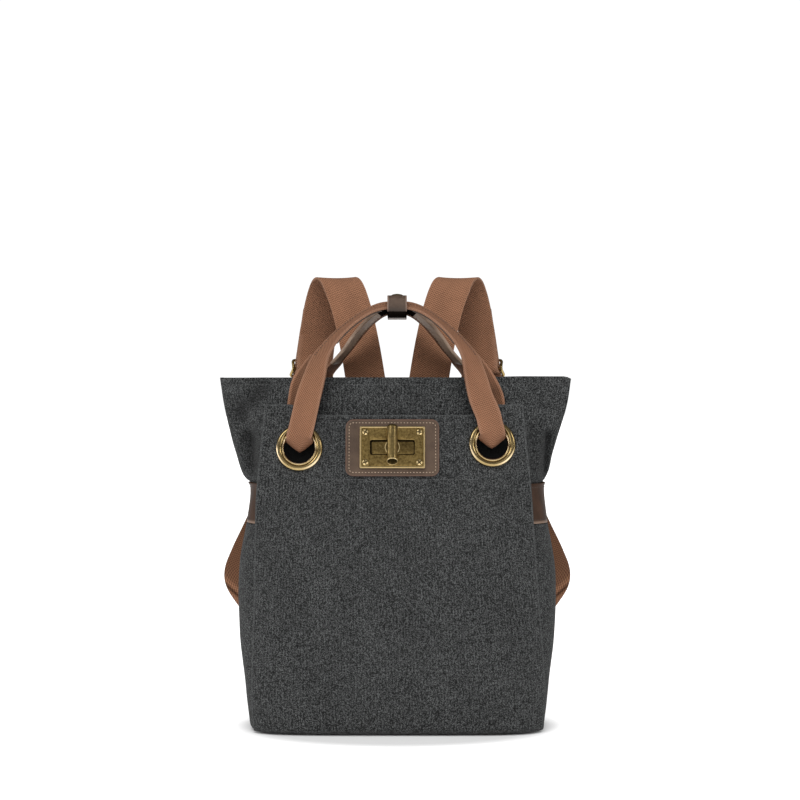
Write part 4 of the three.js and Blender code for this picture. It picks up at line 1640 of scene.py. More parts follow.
@dataclass
class Body:
    """The canvas sack with its hemmed rim."""

    shape: BodyShape
    finishes: Finishes
    cloth: float = 2.0
    columns: int = 176
    rows: int = 120
    base_crowding: float = 0.35
    hem: float = 12.0
    hem_rise: float = 0.5
    rim_swell: float = 1.2
    tip_drop: float = 2.6
    rim_from: float = 290.0
    dent: float = 0.9
    wave: float = 1.2
    stitch_drop: float = 7.0
    wall_flat: tuple[float, float] = (0.70, 0.33)
    flat: tuple[float, float] = (0.72, 0.40)
    flat_area: float = 0.26
    painted_shade_area: tuple[tuple[float, float], tuple[float, float]] = ((-112.0, 108.0), (60.0, 279.0))
    thread: Thread = Thread()

    def height(self, share: float) -> float:
        """Height of a row, closer together near the base.

        Args:
            share: Share of the rows below it.

        Returns:
            Height in millimetres.
        """
        crowd = self.base_crowding
        lift = share * (crowd + (1.0 - crowd) * share)
        return blend(self.shape.base_z, self.shape.rim_z, lift)

    def ring(self, z: float) -> list[Vector]:
        """Points of the dressed wall at a height.

        Args:
            z: Height.

        Returns:
            Points in metres.
        """
        hem = self.hem_rise * ease(z, self.shape.rim_z - self.hem - 1, self.shape.rim_z - self.hem)
        near_rim = ease(z, self.rim_from, self.shape.rim_z)
        dressed = []
        for point in self.shape.ring(z, self.columns):
            away = abs(point.x)
            slack = ease(point.y, 10.0, 30.0) * ease(z, 10.0, 60.0)
            dent = self.dent * slack * (ripple(point.x, z, 55.0, 3.0) - 0.5)
            free = ease(z, 226.0, 250.0) * (1.0 - ease(away, 150.0, 165.0))
            wave = self.wave * free * ripple(point.x, z, 34.0, 8.0) + hem * ease(abs(point.y), 2.0, 8.0)
            swell = self.rim_swell * ease(point.x, 60.0, 120.0) - self.tip_drop * ease(point.x, 157.0, 166.0)
            y = point.y + dent + math.copysign(wave, point.y)
            dressed.append(at(point.x, y, z + near_rim * swell))
        return dressed

    def build(self) -> None:
        """Make the sack and the stitching of its hem."""
        rings = [self.ring(self.height(k / self.rows)) for k in range(self.rows + 1)]

        def point(across: float, along: float) -> Vector:
            """Place of a point of the wall."""
            return rings[round(along * self.rows)][round(across * self.columns) % self.columns]

        def painted_crease_shade(across: float, along: float) -> float:
            """Painted shade in the folds of the front wall."""
            place = point(across, along) / MM - DRAWING_SHIFT
            return -self.shape.fold_sum("shade", place.x, place.z) if place.y < 0 else 0.0

        bm = cloth_grid(self.columns, self.rows, point, self.wall_flat, painted_crease_shade)
        bmesh.ops.remove_doubles(bm, verts=bm.verts, dist=1e-6)
        floor = min(vert.co.z for vert in bm.verts) + 1e-5
        foot = [e for e in bm.edges if e.is_boundary and all(v.co.z < floor for v in e.verts)]
        filled = bmesh.ops.edgeloop_fill(bm, edges=foot)["faces"]
        uv = bm.loops.layers.uv[UV_LAYER]
        for face in filled:
            for loop in face.loops:
                loop[uv].uv = loop.vert.co.xy
        bmesh.ops.recalc_face_normals(bm, faces=bm.faces)
        sack = add_piece("body_sack", bm, self.finishes.canvas, Slot.CANVAS, ["body"])
        # The wall behind the front panel takes the near-black cloth: painted shade seen through the eyelets.
        shade_faces(sack, self.finishes.pocket_cloth, self.behind_panel)
        thicken(sack, self.cloth, -1.0, 0.5)
        self.sew_hem()

    def behind_panel(self, centre: Vector) -> bool:
        """Whether a place of the wall is covered by the front panel."""
        (low_x, high_x), (low_z, high_z) = self.painted_shade_area
        return centre.y < 0 and low_x < centre.x < high_x and low_z < centre.z < high_z

    def sew_hem(self) -> None:
        """Stitch line under the rim, all round."""
        z = self.shape.rim_z - self.stitch_drop
        ring = self.ring(z)
        places = []
        for k, point in enumerate(ring + ring[:1]):
            along = ring[(k + 1) % len(ring)] - ring[k - 1]
            out = along.cross(Vector((0.0, 0.0, 1.0))).normalized()
            places.append((point + STITCH_LIFT * out, out))
        bm = new_mesh()
        self.thread.sew(bm, places)
        add_piece("body_hem_stitches", bm, self.finishes.dark_thread, Slot.CANVAS)


@dataclass
class FrontPanel:
    """The canvas panel in front, with its eyelet holes and lock window."""

    shape: PanelShape
    finishes: Finishes
    eyelets: tuple[tuple[float, float], ...]
    lock: tuple[float, float]
    hole: float = 17.0
    window: tuple[float, float] = (44.0, 22.0)
    columns: int = 108
    rows: int = 124
    facing_z: float = 229.0
    stitch_drop: float = 7.0
    stitch_margin: float = 0.012
    lock_calm: tuple[float, float] = (30.0, 50.0)
    eyelet_calm: tuple[float, float] = (21.0, 36.0)
    face_flat: tuple[float, float] = (0.264, 0.30)
    flat: tuple[float, float] = (0.27, 0.30)
    flat_area: float = 0.077
    thread: Thread = Thread()

    def calm(self, x: float, z: float) -> float:
        """Share of the cloth's unevenness at a place, none where metal sits.

        Args:
            x: Place along the width.
            z: Height.

        Returns:
            Share from 0 to 1.
        """
        share = ease(math.hypot((x - self.lock[0]) / 1.5, z - self.lock[1]), *self.lock_calm)
        for ex, ez in self.eyelets:
            share *= ease(math.hypot(x - ex, z - ez), *self.eyelet_calm)
        return share

    def point(self, across: float, share: float) -> Vector:
        """Place of a point of the panel's outer face.

        Args:
            across: 0 at the left edge, 1 at the right.
            share: 0 at the foot, 1 at the top.

        Returns:
            Place in metres.
        """
        x, z = self.shape.spot(2 * across - 1, share)
        uneven = 1.1 * ripple(x, z, 60.0, 1.0) + 0.5 * ripple(x, z, 26.0, 5.0)
        inward = self.calm(x, z) * (0.6 + uneven) * ease(z, 0.0, 25.0)
        return at(x, -self.shape.depth(x, z) + inward, z)

    def worn_and_highlit(self, across: float, share: float) -> float:
        """1 along the side edges and the top edge: a painted highlight where the folded edges catch the
        light, pale as worn cloth.
        """
        return 1.0 if min(across, 1.0 - across) < 1e-3 or share > 0.999 else 0.0

    def build(self) -> None:
        """Make the panel and its stitch lines."""
        bm = cloth_grid(self.columns, self.rows, self.point, self.face_flat, self.worn_and_highlit)
        seats = [self.shape.seat(x, z).inverted() for x, z in self.eyelets]
        middle = self.shape.seat(*self.lock).inverted()
        cut = []
        for face in bm.faces:
            centre = face.calc_center_median()
            holes = [(seat @ centre).xy.length < self.hole for seat in seats]
            local = middle @ centre
            if any(holes) or (abs(local.x) < self.window[0] / 2 and abs(local.y) < self.window[1] / 2):
                cut.append(face)
        bmesh.ops.delete(bm, geom=cut, context="FACES")
        panel = add_piece("panel_sheet", bm, self.finishes.canvas, Slot.CANVAS, ["front_panel"])
        thicken(panel, self.shape.cloth, -1.0, 0.5)
        self.sew()

    def sew(self) -> None:
        """Facing line below the lock, and a line under the top edge."""
        bm = new_mesh()
        span = self.shape.top_middle_z - self.shape.foot_z
        left, right = self.stitch_margin, 1.0 - self.stitch_margin
        for level in ((self.facing_z - self.shape.foot_z) / span, 1.0 - self.stitch_drop / span):
            self.thread.sew(bm, surface_line(self.point, (left, level), (right, level), 120, STITCH_LIFT))
        add_piece("panel_stitches", bm, self.finishes.dark_thread, Slot.CANVAS)


@dataclass
class SidePocket:
    """Slip pocket round one side, with the leather band along its top."""

    side: Side
    body: BodyShape
    panel: PanelShape
    finishes: Finishes
    rows: tuple[PocketRow, ...] = (
        PocketRow(-0.5, 0.3),
        PocketRow(11, 0.6),
        PocketRow(39, 1.8),
        PocketRow(76, 3.8),
        PocketRow(114, 5),
        PocketRow(151, 4.6),
        PocketRow(187, 1.6),
    )
    band_foot: float = 187.5
    band_top: float = 224.0
    band_bulge: tuple[float, float] = (1.5, 0.2)
    underlap: float = 5.0
    back_x: float = 116.0
    fullness: float = 0.8
    gap: float = 0.4
    cloth: float = 2.0
    leather: float = 1.8
    flat: tuple[float, float] = (0.118, 0.19)
    band_height: float = 0.037
    stitch_levels: tuple[float, float] = (0.1, 0.9)
    columns: int = 56
    pocket_rows: int = 80
    band_rows: int = 12
    thread: Thread = Thread(2.2, 3.2, 0.32)

    def wrap(self, share: float, z: float, bulge: float, thickness: float) -> Vector:
        """Outer face of a sheet round the side.

        Args:
            share: 0 under the panel's edge, 1 at the back.
            z: Height.
            bulge: Largest stand-off from the body.
            thickness: Thickness of the sheet.

        Returns:
            Place in metres.
        """
        sign = self.side.value
        base = self.body.section(z, self.gap)
        panel_edge = column_at(self.panel.rows, "half", z) + sign * column_at(self.panel.rows, "lean", z)

        def angle_of(x: float) -> float:
            """Angle of the wall's outline at a distance from the middle."""
            return math.acos(min(1.0, ((x - sign * base.lean) / base.half) ** (1 / base.power_x)))

        turn = blend(-angle_of(panel_edge - self.underlap), angle_of(self.back_x), share)
        angle = turn if sign > 0 else math.pi - turn
        stand = self.gap + bulge * math.sin(math.pi * share) ** self.fullness + thickness
        return at(*self.body.on_section(self.body.section(z, stand), angle, z))

    def pocket_point(self, across: float, along: float) -> Vector:
        """Place of a point of the pocket's outer face.

        Args:
            across: Share across it, from left to right.
            along: Share up it.

        Returns:
            Place in metres.
        """
        z = blend(self.rows[0].z, self.rows[-1].z, along)
        share = across if self.side is Side.RIGHT else 1.0 - across
        slack = 0.5 * math.sin(math.pi * share) * ripple(100 * share, z, 30.0, 11.0 + self.side.value)
        return self.wrap(share, z, column_at(self.rows, "bulge", z) - slack, self.cloth)

    def band_point(self, across: float, along: float) -> Vector:
        """Place of a point of the leather band's outer face.

        Args:
            across: Share across it, from left to right.
            along: Share up it.

        Returns:
            Place in metres.
        """
        z = blend(self.band_foot, self.band_top, along)
        share = across if self.side is Side.RIGHT else 1.0 - across
        return self.wrap(share, z, blend(*self.band_bulge, along), self.leather)

    def build(self) -> None:
        """Make the pocket, the band and the band's stitches."""
        word = self.side.word
        bm = cloth_grid(self.columns, self.pocket_rows, self.pocket_point, self.flat)
        pocket = add_piece(f"pocket_{word}", bm, self.finishes.canvas, Slot.CANVAS, [f"side_pocket_{word}"])
        thicken(pocket, self.cloth, -1.0, 0.5)
        bm = cloth_grid(
            self.columns, self.band_rows, self.band_point, (self.flat[0], self.band_height),
            lambda across, along: 1.0 if along < 0.01 else 0.0,
        )
        band = add_piece(f"band_{word}", bm, self.finishes.band_leather, Slot.LEATHER, [f"side_band_{word}"])
        thicken(band, self.leather, -1.0, 0.4)
        bm = new_mesh()
        for level in self.stitch_levels:
            self.thread.sew(bm, surface_line(self.band_point, (0.02, level), (0.98, level), 60, STITCH_LIFT))
        add_piece(f"band_{word}_stitches", bm, self.finishes.brown_thread, Slot.LEATHER)


def near_turns(turn: float, arcs: Sequence[tuple[float, float]]) -> float:
    """How near a direction is to the middle of one of some arcs.

    Args:
        turn: The direction in degrees.
        arcs: Middle and half width of each arc in degrees.

    Returns:
        1 in the middle of an arc, 0 outside all of them.
    """
    spans = [(abs((turn - middle + 180.0) % 360.0 - 180.0), half) for middle, half in arcs]
    return max(1.0 - ease(away, 0.0, half) for away, half in spans)


@dataclass
class Eyelet:
    """Rolled brass eyelet in the front panel."""

    side: Side
    seat: Matrix
    finishes: Finishes
    bore: float = 14.2
    rim: float = 21.3
    lip: float = 16.0
    height: float = 4.2
    roll_z: float = 1.6
    throat: float = 15.0
    flange: float = 19.8
    flange_thick: float = 1.5
    cloth: float = 2.0
    steps: int = 96
    rim_highlights: tuple[tuple[float, float], ...] = ((195.0, 45.0), (312.0, 42.0))
    lip_highlights: tuple[tuple[float, float], ...] = ((20.0, 45.0), (160.0, 40.0), (270.0, 40.0))

    def build(self) -> None:
        """Make the eyelet."""
        roll = (self.rim - self.lip) / 2
        middle = self.lip + roll
        lip_top = 0.84 * self.height
        profile = [
            (self.bore, -self.cloth - 1.0),
            (self.bore, lip_top - 1.4),
            (self.bore + 0.25, lip_top - 0.5),
            (self.bore + 0.7, lip_top - 0.08),
            (self.bore + 1.1, lip_top),
            (self.lip - 0.35, lip_top - 0.12),
        ]
        for k in range(13):
            angle = blend(0.84, -0.34, k / 12) * math.pi
            rise = self.roll_z + (self.height - self.roll_z) * math.sin(angle)
            profile.append((middle + roll * math.cos(angle), max(rise, 0.0)))
        profile += [
            (self.throat, 0.0),
            (self.throat, -self.cloth),
            (self.flange, -self.cloth),
            (self.flange - 0.5, -self.cloth - self.flange_thick),
            (self.bore + 0.5, -self.cloth - self.flange_thick),
            (self.bore, -self.cloth - 1.0),
        ]
        bm = new_mesh()
        turned(bm, profile, "Z", self.steps)
        # Painted highlights: bright arcs of reflection on the lip and the outer roll.
        mark_points(bm, self.painted_highlight)
        bmesh.ops.transform(bm, matrix=self.seat, verts=bm.verts)
        node = f"eyelet_{self.side.word}"
        add_piece(f"{node}_ring", bm, self.finishes.polished, Slot.BRASS, [node])

    def painted_highlight(self, place: Vector) -> float:
        """How bright the painted highlights make the metal at a place of the eyelet: arcs of painted
        reflection on the lip and the outer roll.

        Args:
            place: Place in the seat's millimetres.

        Returns:
            Value of the edge attribute.
        """
        reach = place.xy.length
        turn = math.degrees(math.atan2(place.y, place.x)) % 360.0
        if place.z > 0 and reach < self.bore + 1.3:
            return 0.35 + 0.65 * near_turns(turn, self.lip_highlights)
        roll = (self.rim - self.lip) / 2
        outside = ease(reach, self.lip + roll, self.lip + 1.5 * roll)
        return 0.1 + 0.8 * outside * near_turns(turn, self.rim_highlights)


@dataclass
class TurnLock:
    """Turn lock: leather patch, slotted plate, base with its platform, turn bar and screws."""

    seat: Matrix
    finishes: Finishes
    patch: tuple[float, float, float] = (85.0, 52.0, 7.0)
    patch_top: float = 2.5
    plate: tuple[float, float, float] = (59.0, 38.0, 1.2)
    plate_foot: float = 2.5
    plate_top: float = 4.7
    rim: float = 1.4
    rim_top: float = 5.5
    slot: tuple[float, float, float] = (40.5, 13.5, 1.5)
    slot_round: float = 9.0
    wall: float = -8.5
    boss: float = 6.9
    platform_drop: float = 0.9
    platform_shift: tuple[float, float] = (0.4, -0.4)
    bar_rise: float = 2.0
    stem: float = 3.0
    stem_play: float = 0.4
    platform_gap: float = 1.1
    foot: tuple[float, float, float] = (52.0, 26.0, 4.0)
    bar_length: float = 36.5
    bar_radius: float = 5.0
    bar_hollow: float = 11.0
    bar_slant: float = 2.4
    bar_z: float = 11.3
    screw_x: float = 24.5
    screw_y: float = 13.8
    screw_radius: float = 2.8
    screw_shank: float = 1.2
    screw_foot: float = 0.7
    screw_turn: float = 20.0
    screw_cut: float = 0.45
    stitch_inset: float = 3.3
    thread: Thread = Thread(1.7, 2.9, 0.42)

    def build(self) -> None:
        """Make every part of the lock."""
        self.make_patch()
        self.make_plate()
        self.make_base()
        self.make_bar()
        self.make_screws()

    def place(
        self,
        name: str,
        bm: Mesh,
        finish: Material,
        slot: Slot,
        nodes: Sequence[str] = (),
        body: BodyName = BodyName.BAG,
    ) -> None:
        """Set a part on the lock's seat.

        Args:
            name: Name of the piece.
            bm: Its mesh in the seat's millimetres.
            finish: Its material.
            slot: Its slot.
            nodes: CAD nodes that it stands for.
            body: Body that it rides on.
        """
        bmesh.ops.transform(bm, matrix=self.seat, verts=bm.verts)
        add_piece(name, bm, finish, slot, nodes, body)

    def slot_outline(self, growth: float) -> list[Vector]:
        """Outline of the slot, a rounded bar with a round middle.

        Args:
            growth: How far the outline is grown.

        Returns:
            Points turning from x to y.
        """
        half_x, half_y = self.slot[0] / 2 + growth, self.slot[1] / 2 + growth
        corner, radius = self.slot[2], self.slot_round + growth
        start = math.asin(half_y / radius)
        bend = Vector((half_x - corner, half_y - corner))
        quarter = [Vector((half_x, 0.0))]
        quarter += [bend + corner * ray(k * math.pi / 6) for k in range(4)]
        quarter += [radius * ray(blend(start, math.pi / 2, k / 8)) for k in range(9)]
        upper = quarter + [Vector((-p.x, p.y)) for p in reversed(quarter[:-1])]
        return upper + [Vector((p.x, -p.y)) for p in reversed(upper[1:-1])]

    def make_patch(self) -> None:
        """Leather patch with its cream stitches."""
        width, height, corner = self.patch
        bm = rounded_slab(width, height, corner, 0.05, self.patch_top, 0.8)
        self.place("lock_patch_leather", bm, self.finishes.leather, Slot.LEATHER, ["lock_patch"])
        inset = 2 * self.stitch_inset
        path = rounded_outline(width - inset, height - inset, corner - self.stitch_inset)
        turn = self.seat.to_3x3().normalized()
        out = turn @ Vector((0.0, 0.0, 1.0))
        places = [(self.seat @ Vector((p.x, p.y, self.patch_top)), out) for p in path + path[:1]]
        bm = new_mesh()
        self.thread.sew(bm, places)
        add_piece("lock_patch_stitches", bm, self.finishes.cream_thread, Slot.LEATHER)

    def make_plate(self) -> None:
        """Brass plate with its slot and raised rim."""
        width, height, corner = self.plate
        bm = new_mesh()
        outlines = (rounded_outline(width - 0.4, height - 0.4, corner), self.slot_outline(0.0))
        raise_outlines(bm, outlines, self.plate_foot, self.plate_top)
        soften_crest(bm, self.plate_top, 0.35, 2)
        # Painted shade on the slot's walls.
        mark_points(bm, lambda place: -1.0 if place.z < self.plate_top - 0.5 else 0.0)
        border = new_mesh()
        outer = outline_loop(border, rounded_outline(width, height, corner), self.plate_foot)
        inner_size = (width - 2 * self.rim, height - 2 * self.rim)
        inner = outline_loop(border, rounded_outline(*inner_size, 0.8 * corner), self.plate_foot)
        ring = bmesh.ops.bridge_loops(border, edges=outer + inner)["faces"]
        raise_faces(border, ring, self.rim_top - self.plate_foot)
        soften_crest(border, self.rim_top, 0.45, 3)
        # Painted highlight on the raised rim.
        mark_points(border, lambda place: 0.8)
        join_mesh(bm, border)
        self.place("lock_plate_brass", bm, self.finishes.brass, Slot.BRASS, ["lock_plate"])

    def make_base(self) -> None:
        """Base on the body, its platform in the slot and the round boss."""
        bm = new_mesh()
        top = self.plate_top - self.platform_drop
        raise_outlines(bm, [self.slot_outline(-self.platform_gap)], self.wall, top)
        soften_crest(bm, top, 0.4, 2)
        # Painted shade: dark walls and a darker top on the platform.
        mark_points(bm, lambda place: -1.0 if place.z < top - 0.6 else -0.35)
        bmesh.ops.translate(bm, vec=(*self.platform_shift, 0.0), verts=bm.verts)
        # A near-black skirt under the slot's gap: painted shadow between plate and platform.
        skirt = new_mesh()
        raise_outlines(skirt, [self.slot_outline(-0.05)], self.patch_top, self.patch_top + 0.15)
        mark_points(skirt, lambda place: -1.0)
        join_mesh(bm, skirt)
        post = new_mesh()
        rise, bore, rim = self.plate_top + 0.5, self.stem + self.stem_play, self.boss
        profile = [
            (bore, self.wall), (bore, rise), (rim - 1.1, rise), (rim - 0.7, rise),
            (rim - 0.1, rise - 0.15), (rim, rise - 0.5), (rim, self.wall),
        ]
        turned(post, profile)
        # Painted highlight on the boss's rim, painted shade on the rest of it.
        mark_points(
            post, lambda place: 1.0 if place.z > rise - 0.4 and place.xy.length > rim - 0.8 else -0.5
        )
        join_mesh(bm, post)
        foot = rounded_slab(*self.foot, self.wall, self.wall + 1.5, 0.4)
        # Painted shade on the foot.
        mark_points(foot, lambda place: -1.0)
        join_mesh(bm, foot)
        self.place("lock_base_brass", bm, self.finishes.brass, Slot.BRASS, ["lock_base"])

    def make_bar(self) -> None:
        """Turn bar: domed top, flared and hollowed lower end, on its stem."""
        end, radius = self.bar_length / 2, self.bar_radius
        profile = [
            (0.0, end),
            (0.4 * radius, end - 0.15),
            (0.7 * radius, end - 0.7),
            (0.88 * radius, end - 1.5),
            (0.96 * radius, end - 2.6),
            (0.96 * radius, 0.3 * end),
            (0.94 * radius, -0.4 * end),
            (0.95 * radius, -0.75 * end),
            (0.98 * radius, -0.9 * end),
            (1.03 * radius, -end + 0.6),
            (1.03 * radius, -end + 0.2),
            (0.99 * radius, -end),
            (0.92 * radius, -end),
            (0.88 * radius, -end + 0.5),
            (0.85 * radius, -end + 2.5),
            (0.80 * radius, -end + 0.92 * self.bar_hollow),
            (0.0, -end + self.bar_hollow),
        ]
        bm = new_mesh()
        turned(bm, profile, "Y", 40)
        mark = bm.verts.layers.float[EDGE_AND_PAINTED_LIGHT_LAYER]
        for vert in bm.verts:
            inside = vert.co.y < -end + self.bar_hollow + 0.1 and vert.co.xz.length < 0.9 * radius
            # Painted shade inside the hollow end, painted highlight on its lip.
            vert[mark] = -0.8 if inside else 0.8 if vert.co.y < -end + 0.3 else 0.1
            tilt = self.bar_slant * (0.9 + vert.co.z / radius)
            vert.co.y += tilt * ease(-vert.co.y, 0.4 * end, 0.9 * end)
        bmesh.ops.translate(bm, vec=(0.0, self.bar_rise, self.bar_z), verts=bm.verts)
        stem = new_mesh()
        foot = self.wall + self.stem_play
        turned(stem, [(0.0, foot), (self.stem, foot), (self.stem, self.bar_z), (0.0, self.bar_z)])
        join_mesh(bm, stem)
        self.place("turn_bar_brass", bm, self.finishes.bar_brass, Slot.BRASS, ["turn_bar"], BodyName.TOGGLE)

    def make_screws(self) -> None:
        """Four domed screws with cross cuts, each head in four lobes on a disc."""
        low, radius, shank = self.plate_top, self.screw_radius, self.screw_shank
        disc = [
            (0.0, self.screw_foot), (shank, self.screw_foot), (shank, low),
            (radius, low), (0.96 * radius, low + 0.45), (0.0, low + 0.5),
        ]
        corners = [(sx * self.screw_x, sy * self.screw_y) for sy in (-1, 1) for sx in (-1, 1)]
        for count, (x, y) in enumerate(corners, 1):
            bm = new_mesh()
            turned(bm, disc, "Z", 24)
            for quarter in range(4):
                self.add_lobe(bm, quarter, low)
            turn = Matrix.Rotation(math.radians(self.screw_turn * count), 3, "Z")
            bmesh.ops.rotate(bm, cent=(0.0, 0.0, 0.0), matrix=turn, verts=bm.verts)
            # Painted highlight on the head's top, painted shade below it.
            mark_points(bm, lambda place: 0.9 if place.z > low + 0.6 else -0.7)
            bmesh.ops.translate(bm, vec=(x, y, 0.0), verts=bm.verts)
            nodes = [f"lock_screw_{count}"]
            self.place(f"screw_{count}_brass", bm, self.finishes.brass, Slot.BRASS, nodes)

    def add_lobe(self, bm: Mesh, quarter: int, low: float) -> None:
        """One quarter of a screw head, set off from the cross cut.

        Args:
            bm: The screw's mesh.
            quarter: Which quarter.
            low: Height of the head's seat.
        """
        lobe = new_mesh()
        radius = self.screw_radius - 0.5
        profile = [
            (0.0, low + 0.4), (radius, low + 0.4), (0.85 * radius, low + 0.95),
            (0.5 * radius, low + 1.25), (0.0, low + 1.4),
        ]
        verts = [lobe.verts.new((r, 0.0, h)) for r, h in profile]
        face = lobe.faces.new(verts)
        bmesh.ops.spin(
            lobe, geom=[face, *face.edges, *verts], cent=(0.0, 0.0, 0.0), axis=(0.0, 0.0, 1.0),
            angle=math.pi / 2, steps=5, use_merge=False,
        )
        bmesh.ops.remove_doubles(lobe, verts=lobe.verts, dist=MERGE)
        bmesh.ops.recalc_face_normals(lobe, faces=lobe.faces)
        bmesh.ops.translate(lobe, vec=(self.screw_cut, self.screw_cut, 0.0), verts=lobe.verts)
        turn = Matrix.Rotation(quarter * math.pi / 2, 3, "Z")
        bmesh.ops.rotate(lobe, cent=(0.0, 0.0, 0.0), matrix=turn, verts=lobe.verts)
        join_mesh(bm, lobe)


def join_mesh(bm: Mesh, other: Mesh) -> None:
    """Add another mesh to a mesh and free it.

    Args:
        bm: Mesh that grows.
        other: Mesh that is added.
    """
    carrier = bpy.data.meshes.new("carrier")
    other.to_mesh(carrier)
    other.free()
    bm.from_mesh(carrier)
    bpy.data.meshes.remove(carrier)


@dataclass
class Handles:
    """Front and rear webbing handles with the leather under their grips."""

    body: BodyShape
    eyelet_seats: dict[Side, Matrix]
    finishes: Finishes
    width: float = 22.8
    webbing: float = 2.2
    lining: float = 1.2
    lining_width: float = 21.0
    lining_gap: float = 0.25
    lean: float = -2.4
    grip_rows: int = 5
    seam_rows: int = 6
    seam_sight: float = 2.9
    seam_thread: Thread = Thread(2.1, 2.9, 0.62)
    pale_width: float = 18.0
    pale_shift: float = -6.2
    pale_wrap: float = 12.5
    pale_columns: int = 16
    stitch_inset: float = 1.8
    least_sight: float = 0.25
    keeper_shade: float = 16.0
    shade_slant: float = 0.2
    return_shade: float = 1.5
    fold_row: int = 4
    droop: float = 5.5
    seam_lift: float = 1.0
    thread: Thread = Thread(2.4, 3.3, 0.34)
    front_grip: tuple[BandRow, ...] = (
        BandRow(0, -12.8, 389.2, (0, 0.96, 0.28)),
        BandRow(12, -13.2, 388.7, (0.16, 0.95, 0.26)),
        BandRow(24, -15.5, 384.6, (0.32, 0.94, 0.14)),
        BandRow(37, -20, 376.3, (0.42, 0.91, 0.02)),
        BandRow(49.5, -27, 365.6, (0.5, 0.86, -0.04)),
        BandRow(60, -34.5, 353.8, (0.56, 0.82, -0.05)),
        BandRow(68.4, -41.5, 340.5, (0.68, 0.73, 0.03)),
        BandRow(73.4, -47, 322, (0.87, 0.47, 0.13)),
        BandRow(78.4, -51.5, 303, (0.96, 0.2, 0.18)),
    )
    eyelet_pass: tuple[tuple[float, float, float], ...] = (
        (-4, 26, 7.2),
        (-1.8, 16, 7),
        (0, 9.2, 5.8),
        (0, 4.8, 2.4),
        (0, 2.8, -1.6),
        (0, 3.6, -5.2),
        (0, 7.5, -7.6),
        (0, 16, -8),
        (2, 30, -7.6),
        (1, 44, -6.4),
    )
    front_return: tuple[BandRow, ...] = (
        BandRow(83.4, -39.5, 315, (0.95, 0.25, 0.1)),
        BandRow(79.2, -39.3, 324.5, (0.86, 0.49, 0.13)),
        BandRow(74.6, -37.4, 333, (0.75, 0.65, 0.08)),
        BandRow(70.1, -36.2, 340, (0.67, 0.74, 0.03)),
    )
    rear_free: tuple[BandRow, ...] = (
        BandRow(0, 12.8, 386.4, (0, 0.96, -0.27)),
        BandRow(13, 13.3, 384.4, (-0.19, 0.96, -0.21)),
        BandRow(27, 15.5, 374.2, (-0.28, 0.95, -0.1)),
        BandRow(38, 18.5, 361.8, (-0.31, 0.95, -0.04)),
        BandRow(47.5, 22, 349, (-0.3, 0.95, -0.01)),
        BandRow(57.5, 27, 337.5, (-0.22, 0.97, -0.1)),
        BandRow(67.5, 35.5, 325.5, (-0.3, 0.94, -0.2)),
    )
    rear_seam: tuple[tuple[float, float, float], ...] = (
        (75.5, 302, 0.25), (78.5, 285, 0.12), (79, 264, 0.05),
    )

    def front_half(self, side: Side) -> list[BandRow]:
        """Rows of the front handle from the keeper through an eyelet.

        Args:
            side: Which half.

        Returns:
            The rows.
        """
        def leaned(row: BandRow, share: float) -> BandRow:
            """The row on this half, shifted by a share of the handle's lean."""
            placed = mirrored(row) if side is Side.LEFT else row
            return placed._replace(x=placed.x + self.lean * share)

        count = len(self.front_grip)
        rows = [leaned(row, k / count) for k, row in enumerate(self.front_grip)]
        seat = self.eyelet_seats[side]
        across = tuple(side.value * (seat.to_3x3().normalized() @ Vector((1.0, 0.0, 0.0))))
        for x, up, out in self.eyelet_pass:
            spot = seat @ Vector((side.value * x, up, out)) / MM - DRAWING_SHIFT
            rows.append(BandRow(*spot, across))
        return rows + [leaned(row, 1.0) for row in self.front_return]

    def build(self) -> None:
        """Make both handles, their linings and stitches."""
        left, right = self.front_half(Side.LEFT), self.front_half(Side.RIGHT)
        front = [*reversed(left[1:]), *right]
        lift = self.seam_lift + self.webbing / 2
        seam = [on_back(self.body, *spot, -1.0, lift) for spot in self.rear_seam]
        half = [*self.rear_free, *seam]
        rear = [*(mirrored(row) for row in reversed(half[1:])), *half]
        fold = len(self.front_grip) + self.fold_row
        middle = len(left) - 1
        sags = ((middle - fold, self.droop), (middle + fold, self.droop))
        reach = len(self.front_return) + self.return_shade
        covered = ((0.0, reach), (len(front) - 1 - reach, len(front) - 1.0))
        webbing = Ribbon(front, self.width, self.webbing, sags=sags, covered=covered)
        self.make_webbing("handle_front", webbing)
        under = -(self.webbing + self.lining) / 2 - self.lining_gap
        lining = self.grip_ribbon(front, self.lining_width, under, 0.0)
        self.make_lining("handle_front", lining, self.finishes.lining, self.edge_seam(webbing, middle))
        self.make_webbing("handle_rear", Ribbon(rear, self.width, self.webbing))
        pale = self.grip_ribbon(rear, self.pale_width, under, self.pale_shift)
        pale.wrap, pale.selvedge, pale.columns = self.pale_wrap, 0.0, self.pale_columns
        self.make_lining("handle_rear", pale, self.finishes.pale_lining)

    def grip_ribbon(self, rows: list[BandRow], width: float, lift: float, shift: float) -> Ribbon:
        """The leather layer that follows the grip of a handle.

        Args:
            rows: The handle's rows.
            width: Width of the layer.
            lift: Distance of its middle above the handle's middle.
            shift: Distance of its middle from the handle's middle, across the handle.

        Returns:
            The layer.
        """
        centre = (len(rows) - 1) // 2
        return Ribbon(rows, width, self.lining, lift, centre - self.grip_rows, centre + self.grip_rows, shift)

    def edge_seam(self, band: Ribbon, centre: int) -> list[Place]:
        """Line of the seam, at an even distance from the outer edge as seen from the front.

        Args:
            band: The front handle's band.
            centre: Row at the keeper.

        Returns:
            Points with normals, from one rim to the other.
        """
        start, reach = centre * band.per_row, self.seam_rows * band.per_row
        places = []
        for middle, side, normal in band.frames[start - reach : start + reach + 1]:
            seen = max(self.least_sight, math.hypot(side.x, side.z))
            across = self.width / 2 - self.seam_sight / seen
            places.append((middle + MM * (across * side + self.webbing / 2 * normal), normal))
        return places

